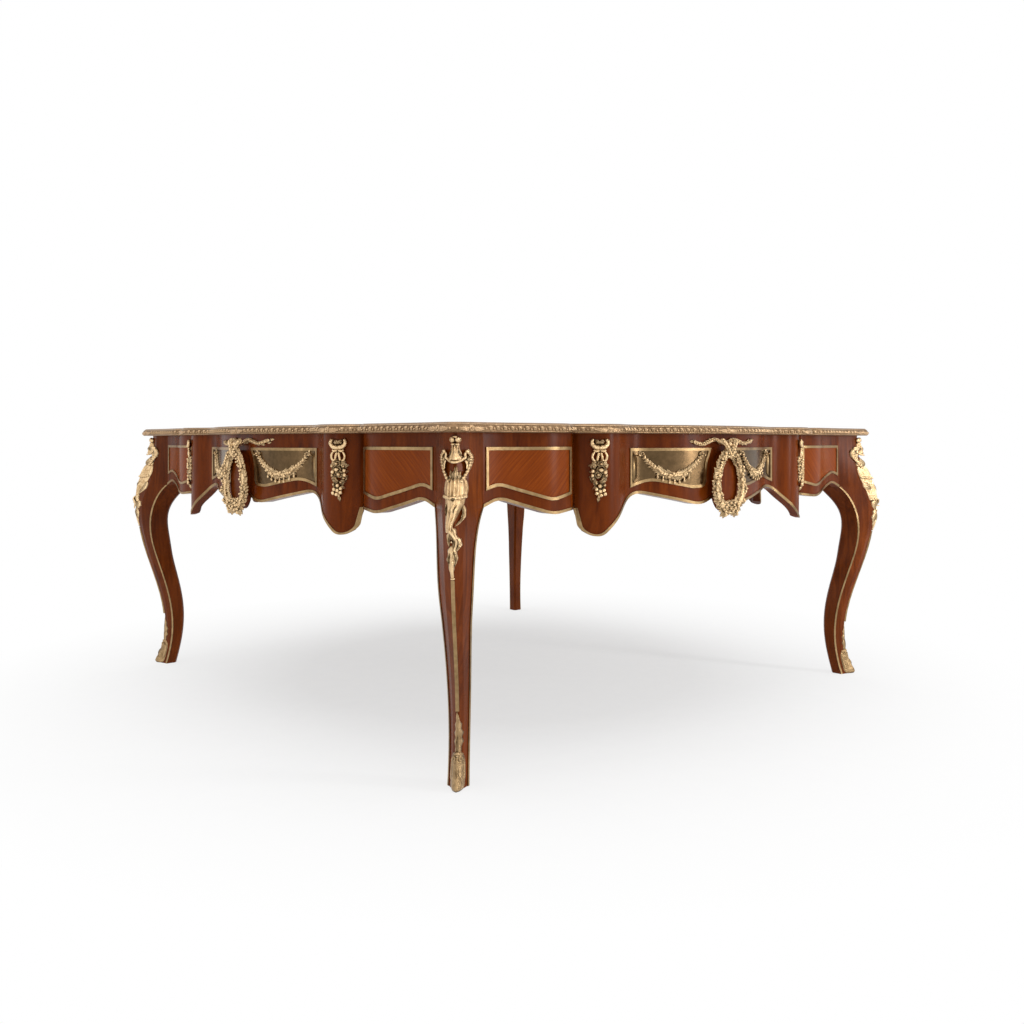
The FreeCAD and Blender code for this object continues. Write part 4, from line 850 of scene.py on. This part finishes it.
class Finish(Shading):
    """A surface under construction."""

    def __init__(self, name, metallic=0.0, gloss=0.5):
        self.material = bpy.data.materials.new(name)
        self.material.use_nodes = True
        super().__init__(self.material.node_tree)
        self.shader = self.tree.nodes["Principled BSDF"]
        self.feed(self.shader.inputs["Metallic"], metallic)
        self.feed(self.shader.inputs["Specular IOR Level"], gloss)
        self.spot = self.node("TexCoord").outputs["Object"]

    def stretched(self, scale):
        return self.node("Mapping", {"Vector": self.spot, "Scale": scale}).outputs[0]

    def noise(self, spot, scale, detail=4.0, roughness=0.6, distortion=0.0):
        made = self.node("TexNoise", {"Vector": spot, "Scale": scale, "Detail": detail,
                                      "Roughness": roughness, "Distortion": distortion})
        return made.outputs["Fac"]

    def ramp(self, share, *stops):
        """Colours, or shares as single numbers, at places along a share."""
        made = self.node("ValToRGB", {"Fac": share})
        places = made.color_ramp.elements
        while len(places) < len(stops):
            places.new(1.0)
        for element, (place, colour) in zip(places, stops):
            element.position = place
            element.color = (*colour, 1.0) if isinstance(colour, tuple) else (*[colour] * 3, 1.0)
        return made.outputs["Color"]

    def mix(self, share, first, second):
        made = self.node("Mix", data_type="RGBA")
        self.feed(made.inputs[0], share)
        for socket, value in ((made.inputs[6], first), (made.inputs[7], second)):
            self.feed(socket, (*value, 1.0) if isinstance(value, tuple) else value)
        return made.outputs[2]

    def ridges(self):
        return self.node("NewGeometry").outputs["Pointiness"]

    def bump(self, height, strength, distance):
        made = self.node("Bump", {"Height": height, "Strength": strength, "Distance": distance})
        self.feed(self.shader.inputs["Normal"], made.outputs[0])

    def done(self, colour, roughness):
        self.feed(self.shader.inputs["Base Color"], colour)
        self.feed(self.shader.inputs["Roughness"], roughness)
        return self.material


def polished_wood(name, grain, dark, middle, light):
    """French polished veneer; grain is the stretch of its figure along x, y and z."""
    wood = Finish(name, gloss=WOOD_GLOSS)
    pore_grain = tuple(PORE_STRETCH * stretch for stretch in grain)
    figure = wood.noise(wood.stretched(grain), scale=3.2, detail=6.0, distortion=0.8)
    pores = wood.noise(wood.stretched(pore_grain), scale=9.0, detail=2.0)
    cloud = wood.noise(wood.spot, scale=7.0, detail=3.0, roughness=0.55)
    colour = wood.ramp(figure, (0.26, dark), (0.5, middle), (0.76, light))
    colour = wood.mix(wood.ramp(cloud, (0.4, 0.0), (0.75, 0.6)), colour, dark)
    colour = wood.mix(wood.ramp(pores, (0.3, 0.35), (0.42, 0.0)), colour, dark)
    colour = wood.mix(wood.ramp(wood.ridges(), (0.53, 0.0), (0.62, EDGE_WEAR)), colour, light)
    wood.bump(wood.math("ADD", pores, figure), strength=0.06, distance=0.4 * MM)
    return wood.done(colour, wood.span(cloud, 0.16, 0.34))


def diagonal_veneer(name, dark, middle, light):
    """Veneer whose fine lines slope towards the legs, mirrored about the middle of each side."""
    wood = Finish(name, gloss=WOOD_GLOSS)
    x, y, z = wood.node("SeparateXYZ", {0: wood.spot}).outputs
    sideways = wood.math("MINIMUM", wood.math("ABSOLUTE", x), wood.math("ABSOLUTE", y))
    across = wood.math("MULTIPLY", wood.math("ADD", sideways, z), SLANT_ACROSS)
    along = wood.math("MULTIPLY", wood.math("SUBTRACT", sideways, z), SLANT_ALONG)
    slant = wood.node("CombineXYZ", {0: across, 1: along}).outputs[0]
    lines = wood.noise(slant, scale=5.0, distortion=0.05)
    broad = wood.noise(slant, scale=0.9, detail=2.0, roughness=0.55)
    colour = wood.ramp(lines, (0.32, dark), (0.5, middle), (0.7, light))
    colour = wood.mix(wood.span(broad, 0.0, 0.3), colour, middle)
    wood.bump(lines, strength=0.05, distance=0.3 * MM)
    return wood.done(colour, wood.span(broad, 0.16, 0.3))


def old_metal(name, bright, middle, shade_and_dirt, roughness, shade_and_dirt_reach):
    """Cast and chased metal: bright where it is rubbed, darkened by painted shade and dirt in its hollows.
    """
    metal = Finish(name, metallic=1.0)
    patches = metal.noise(metal.spot, scale=90.0, detail=5.0, roughness=0.65)
    chasing = metal.noise(metal.spot, scale=420.0, roughness=0.65)
    shade_and_dirt_mask = metal.node("AmbientOcclusion", {"Distance": shade_and_dirt_reach}, samples=8).outputs["AO"]
    colour = metal.ramp(patches, (0.34, middle), (0.66, bright))
    colour = metal.mix(metal.ramp(metal.ridges(), (0.5, 0.0), (0.6, 0.8)), colour, bright)
    # Painted shade and dirt: where ambient occlusion finds a hollow, the colour turns to its darkest
    colour = metal.mix(metal.ramp(shade_and_dirt_mask, (0.2, 1.0), (0.8, 0.0)), colour, shade_and_dirt)
    relief = metal.math("ADD", chasing, metal.math("MULTIPLY", patches, 0.6))
    metal.bump(relief, strength=0.8, distance=1.6 * MM)
    return metal.done(colour, metal.span(patches, roughness - 0.1, roughness + 0.14))


def brushed_metal(name, bright, dull, roughness, stretch):
    """Sheet or drawn metal with faint marks and uneven lacquer."""
    metal = Finish(name, metallic=1.0)
    marks = metal.noise(metal.stretched(stretch), scale=40.0)
    lacquer = metal.noise(metal.spot, scale=16.0)
    tone = metal.math("MULTIPLY", metal.math("ADD", marks, lacquer), 0.5)
    colour = metal.ramp(tone, (0.34, dull), (0.62, bright))
    metal.bump(marks, strength=0.05, distance=0.2 * MM)
    return metal.done(colour, metal.span(lacquer, roughness - 0.06, roughness + 0.1))


def plain_wood(name, dark, light):
    """Unpolished carcass wood."""
    wood = Finish(name)
    grain = wood.stretched(CARCASS_GRAIN)
    figure = wood.noise(grain, scale=2.0, detail=6.0, distortion=0.4)
    pores = wood.noise(wood.stretched(CARCASS_PORES), scale=4.0, detail=2.0, roughness=0.55)
    colour = wood.ramp(figure, (0.3, dark), (0.7, light))
    colour = wood.mix(wood.span(pores, 0.0, 0.4), colour, dark)
    wood.bump(pores, strength=0.3, distance=0.5 * MM)
    return wood.done(colour, wood.span(figure, 0.6, 0.8))


def white_floor():
    """Matt white ground with a pale shadow near the table."""
    ground = Finish("white_ground", gloss=0.0)
    grain = ground.noise(ground.spot, scale=30.0, roughness=0.55)
    material = ground.done(ground.ramp(grain, (0.4, 0.88), (0.6, 0.9)), roughness=0.9)
    reach = ground.node("VectorMath", {0: ground.spot}, operation="LENGTH").outputs["Value"]
    share = ground.math("MULTIPLY", ground.seen(), ground.span(reach, FLOOR_GLOW, 1.0, *SHADOW_REACH))
    glow = ground.node("Emission", {"Color": WHITE, "Strength": 1.0})
    chosen = ground.node("MixShader", {0: share, 1: ground.shader.outputs[0], 2: glow.outputs[0]})
    ground.feed(ground.tree.nodes["Material Output"].inputs["Surface"], chosen.outputs[0])
    return material


# Dressing the construction
def paint(material, slot, *names):
    for name in names:
        nodes[name].data.materials.clear()
        nodes[name].data.materials.append(material)


def around(prefix, ends=SIDES):
    return [f"{prefix}_{end}" for end in ends]


def add_sheet_slips(material):
    sheet = np.asarray([vertex.co for vertex in nodes["brass_sheets_front"].data.vertices])
    sheet_end = sheet[:, 0].max()
    levels = sheet[sheet[:, 0] > sheet_end - MM, 2] / MM
    places, line = plan_line("brass_sheets_front", levels.mean() * MM, sheet_end / 2, sheet_end - MM / 4)
    low, high = levels.min() + FRAME_STRIP, levels.max() - FRAME_STRIP
    slip = sheet_slip(places[-1] / MM - FRAME_STRIP, low, high)
    points, faces = with_mirror(*joined((slip, along_line(places, line))))
    add_around("sheet_slips", points, faces, material)


def dress_wood():
    upright = polished_wood("kingwood_upright", LEG_GRAIN, *LEG_WOOD)
    paint(upright, "veneered_wood", *around("leg", LEGS))
    apron = polished_wood("kingwood_apron", APRON_GRAIN, *APRON_WOOD)
    paint(apron, "veneered_wood", *around("centre_apron"), *around("end_blocks"))
    panel = diagonal_veneer("tulipwood_panel", *PANEL_WOOD)
    paint(panel, "panel_veneer", *around("veneer_panels"), "top_field_veneers")
    banding = polished_wood("kingwood_banding", BANDING_GRAIN, *APRON_WOOD)
    paint(banding, "veneered_wood", "top_banding")
    carcass = plain_wood("oak_carcass", *CARCASS_WOOD)
    paint(carcass, "carcass_wood", *around("rail"), "glue_blocks", "top_board")


def dress_plain_metal():
    trim = brushed_metal("brass_line", *BRASS_LINE, roughness=0.3, stretch=BRASS_MARKS)
    paint(trim, "brass_trim", *around("edge_trim"), "veneer_panel_frames", "brass_sheet_frames",
          "leg_ridge_strips", "leg_edge_strips", "top_stringing")
    add_sheet_slips(trim)
    sheet = brushed_metal("brass_sheet", *BRASS_SHEET, roughness=0.22, stretch=BRASS_MARKS)
    paint(sheet, "brass_sheet", *around("brass_sheets"))
    steel = brushed_metal("screw_steel", *STEEL, roughness=0.38, stretch=STEEL_MARKS)
    paint(steel, "screw_steel", "top_screws")


def dress_legs(gilt):
    worn = old_metal("worn_gilding", *WORN_GILDING, roughness=0.34, shade_and_dirt_reach=5 * MM)
    leg = onto_leg(surface_of("leg_front_right"))
    for prefix, drawn, metal in (("corner_mount", corner_mount, gilt), ("foot_mount", foot_mount, worn)):
        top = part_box(f"{prefix}_front_right")[1].z / MM
        points, faces = joined((drawn(top), leg))
        add_around(f"{prefix}_chased", points, faces, metal, LEGS, prefix)


def dress_pendants(gilt):
    low, high = side_box("pendants_front")
    level = (low[2] + high[2]) / 2 * MM
    apron_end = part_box("centre_apron_front")[1].x
    places, line = plan_line("centre_apron_front", level, apron_end / 2, apron_end - MM)
    middle = np.interp((low[0] + high[0]) / 2 * MM, line[:, 0], places) / MM
    points, faces = with_mirror(*joined((pendant(middle, high[2]), along_line(places, line))))
    add_around("pendants_chased", points, faces, gilt, replaced="pendants")


def dress_swags(gilt, front):
    """All the swags as one piece."""
    low, high = side_box("swags")
    festoon = swag(low[0] + SWAG_INSET[0], high[0] - SWAG_INSET[1], high[2], low[2] + SWAG_DROP_ROOM)
    points, faces = with_mirror(*joined((festoon, front)))
    quarters = range(len(SIDES))
    rounds = np.vstack([turned(points, quarter) for quarter in quarters])
    loops = [tuple(corner + quarter * len(points) for corner in face)
             for quarter in quarters for face in faces]
    add_piece("swags_chased", rounds, loops, gilt, ["swags"])


def dress_wreaths(gilt, front):
    low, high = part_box("centre_apron_front")
    apron_top = high.z / MM
    plane = onto_plane(low.y)
    ring = wreath_ring(apron_top - WREATH_DROP)
    knot = wreath_knot(apron_top - KNOT_DROP, KNOT_HEIGHT)
    arms = [ribbon_arm([(across, apron_top - drop) for across, drop in arm])
            for arm in (LEFT_ARM, RIGHT_ARM)]
    points, faces = joined((ring, plane), (knot, plane), *((arm, front) for arm in arms))
    add_around("wreath_chased", points, faces, gilt, replaced="wreath")


def dress_mounts():
    gilt = old_metal("gilt_bronze", *GILDING, roughness=0.28, shade_and_dirt_reach=5 * MM)
    paint(gilt, "gilt_bronze", "mount_pins")
    front = onto_front(surface_of("centre_apron_front", "brass_sheets_front"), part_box("rail_front")[0].y)
    dress_legs(gilt)
    dress_pendants(gilt)
    dress_swags(gilt, front)
    dress_wreaths(gilt, front)


def dress_edge():
    ground = old_metal("edge_ground", *EDGE_GROUND, roughness=0.42, shade_and_dirt_reach=4 * MM)
    raised = old_metal("edge_bronze", *EDGE_RAISED, roughness=0.32, shade_and_dirt_reach=2.5 * MM)
    paint(ground, "edge_bronze", *around("edge_moulding"))
    low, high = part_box("edge_moulding_front")
    start = low.x + EDGE_ENDS[0] * MM
    end = high.x - EDGE_ENDS[1] * MM
    places, line = plan_line("edge_moulding_front", low.z + EDGE_FACE * MM, start, end)
    length = places[-1] / MM
    lobe = sum(corner[0] for corner in side_box("pendants_front")) / 2 * MM
    turns = [places[np.abs(line[:, 0] - across).argmin()] / MM for across in (-lobe, 0.0, lobe)]
    accents = [CORNER_ACCENT, *turns, length - CORNER_ACCENT]
    laid = along_line(places, line, low.z, EDGE_LEVELS, EDGE_INSETS)
    points, faces = joined((edge_relief(length, accents), laid))
    add_around("edge_relief", points, faces, raised)


# Studio
def add_floor():
    mesh = bpy.data.meshes.new("floor")
    corners = [(x * FLOOR_HALF, y * FLOOR_HALF, 0) for x, y in ((-1, -1), (1, -1), (1, 1), (-1, 1))]
    mesh.from_pydata(corners, [], [(0, 1, 2, 3)])
    mesh.materials.append(white_floor())
    floor = add_object("floor", mesh)


def add_sky():
    """White surroundings: full white to the eye and in reflections, softer as light."""
    world = bpy.data.worlds.new("studio")
    world.use_nodes = True
    bpy.context.scene.world = world
    sky = Shading(world.node_tree)
    background = sky.tree.nodes["Background"]
    sky.feed(background.inputs["Color"], WHITE)
    sky.feed(background.inputs["Strength"], sky.span(sky.seen(), SKY_LIGHT, 1.0))


def add_lamp(name, place, target, width, height, power):
    lamp = bpy.data.lights.new(name, "AREA")
    lamp.shape = "RECTANGLE"
    lamp.size = width
    lamp.size_y = height
    lamp.energy = power
    holder = add_object(name, lamp)
    holder.location = place
    holder.rotation_euler = (Vector(target) - Vector(place)).to_track_quat("-Z", "Y").to_euler()


def add_camera():
    """Low, level view onto the front left corner."""
    data = bpy.data.cameras.new("camera")
    data.sensor_width = 36.0
    data.lens = 34.22
    data.shift_x = 0.00768
    data.shift_y = -0.0686
    camera = add_object("camera", data)
    camera.location = (-1.334, -1.5505, 0.4734)
    camera.rotation_euler = (math.radians(90), 0, math.radians(-41.15))
    bpy.context.scene.camera = camera


def add_studio():
    add_floor()
    add_sky()
    strip = {"width": 0.3, "height": 1.5}
    add_lamp("overhead", place=(0, 0, 3.2), target=(0, 0, 0.3), width=2.6, height=2.6, power=36)
    add_lamp("left_strip", place=(-3.1, 0.3, 1.1), target=(-0.4, -0.1, 0.4), power=5, **strip)
    add_lamp("right_strip", place=(1.3, -2.5, 1.1), target=(0.2, -0.4, 0.35), power=25, **strip)
    add_camera()
    bpy.context.scene.view_settings.view_transform = "Standard"


dress_wood()
dress_plain_metal()
dress_mounts()
dress_edge()
add_studio()
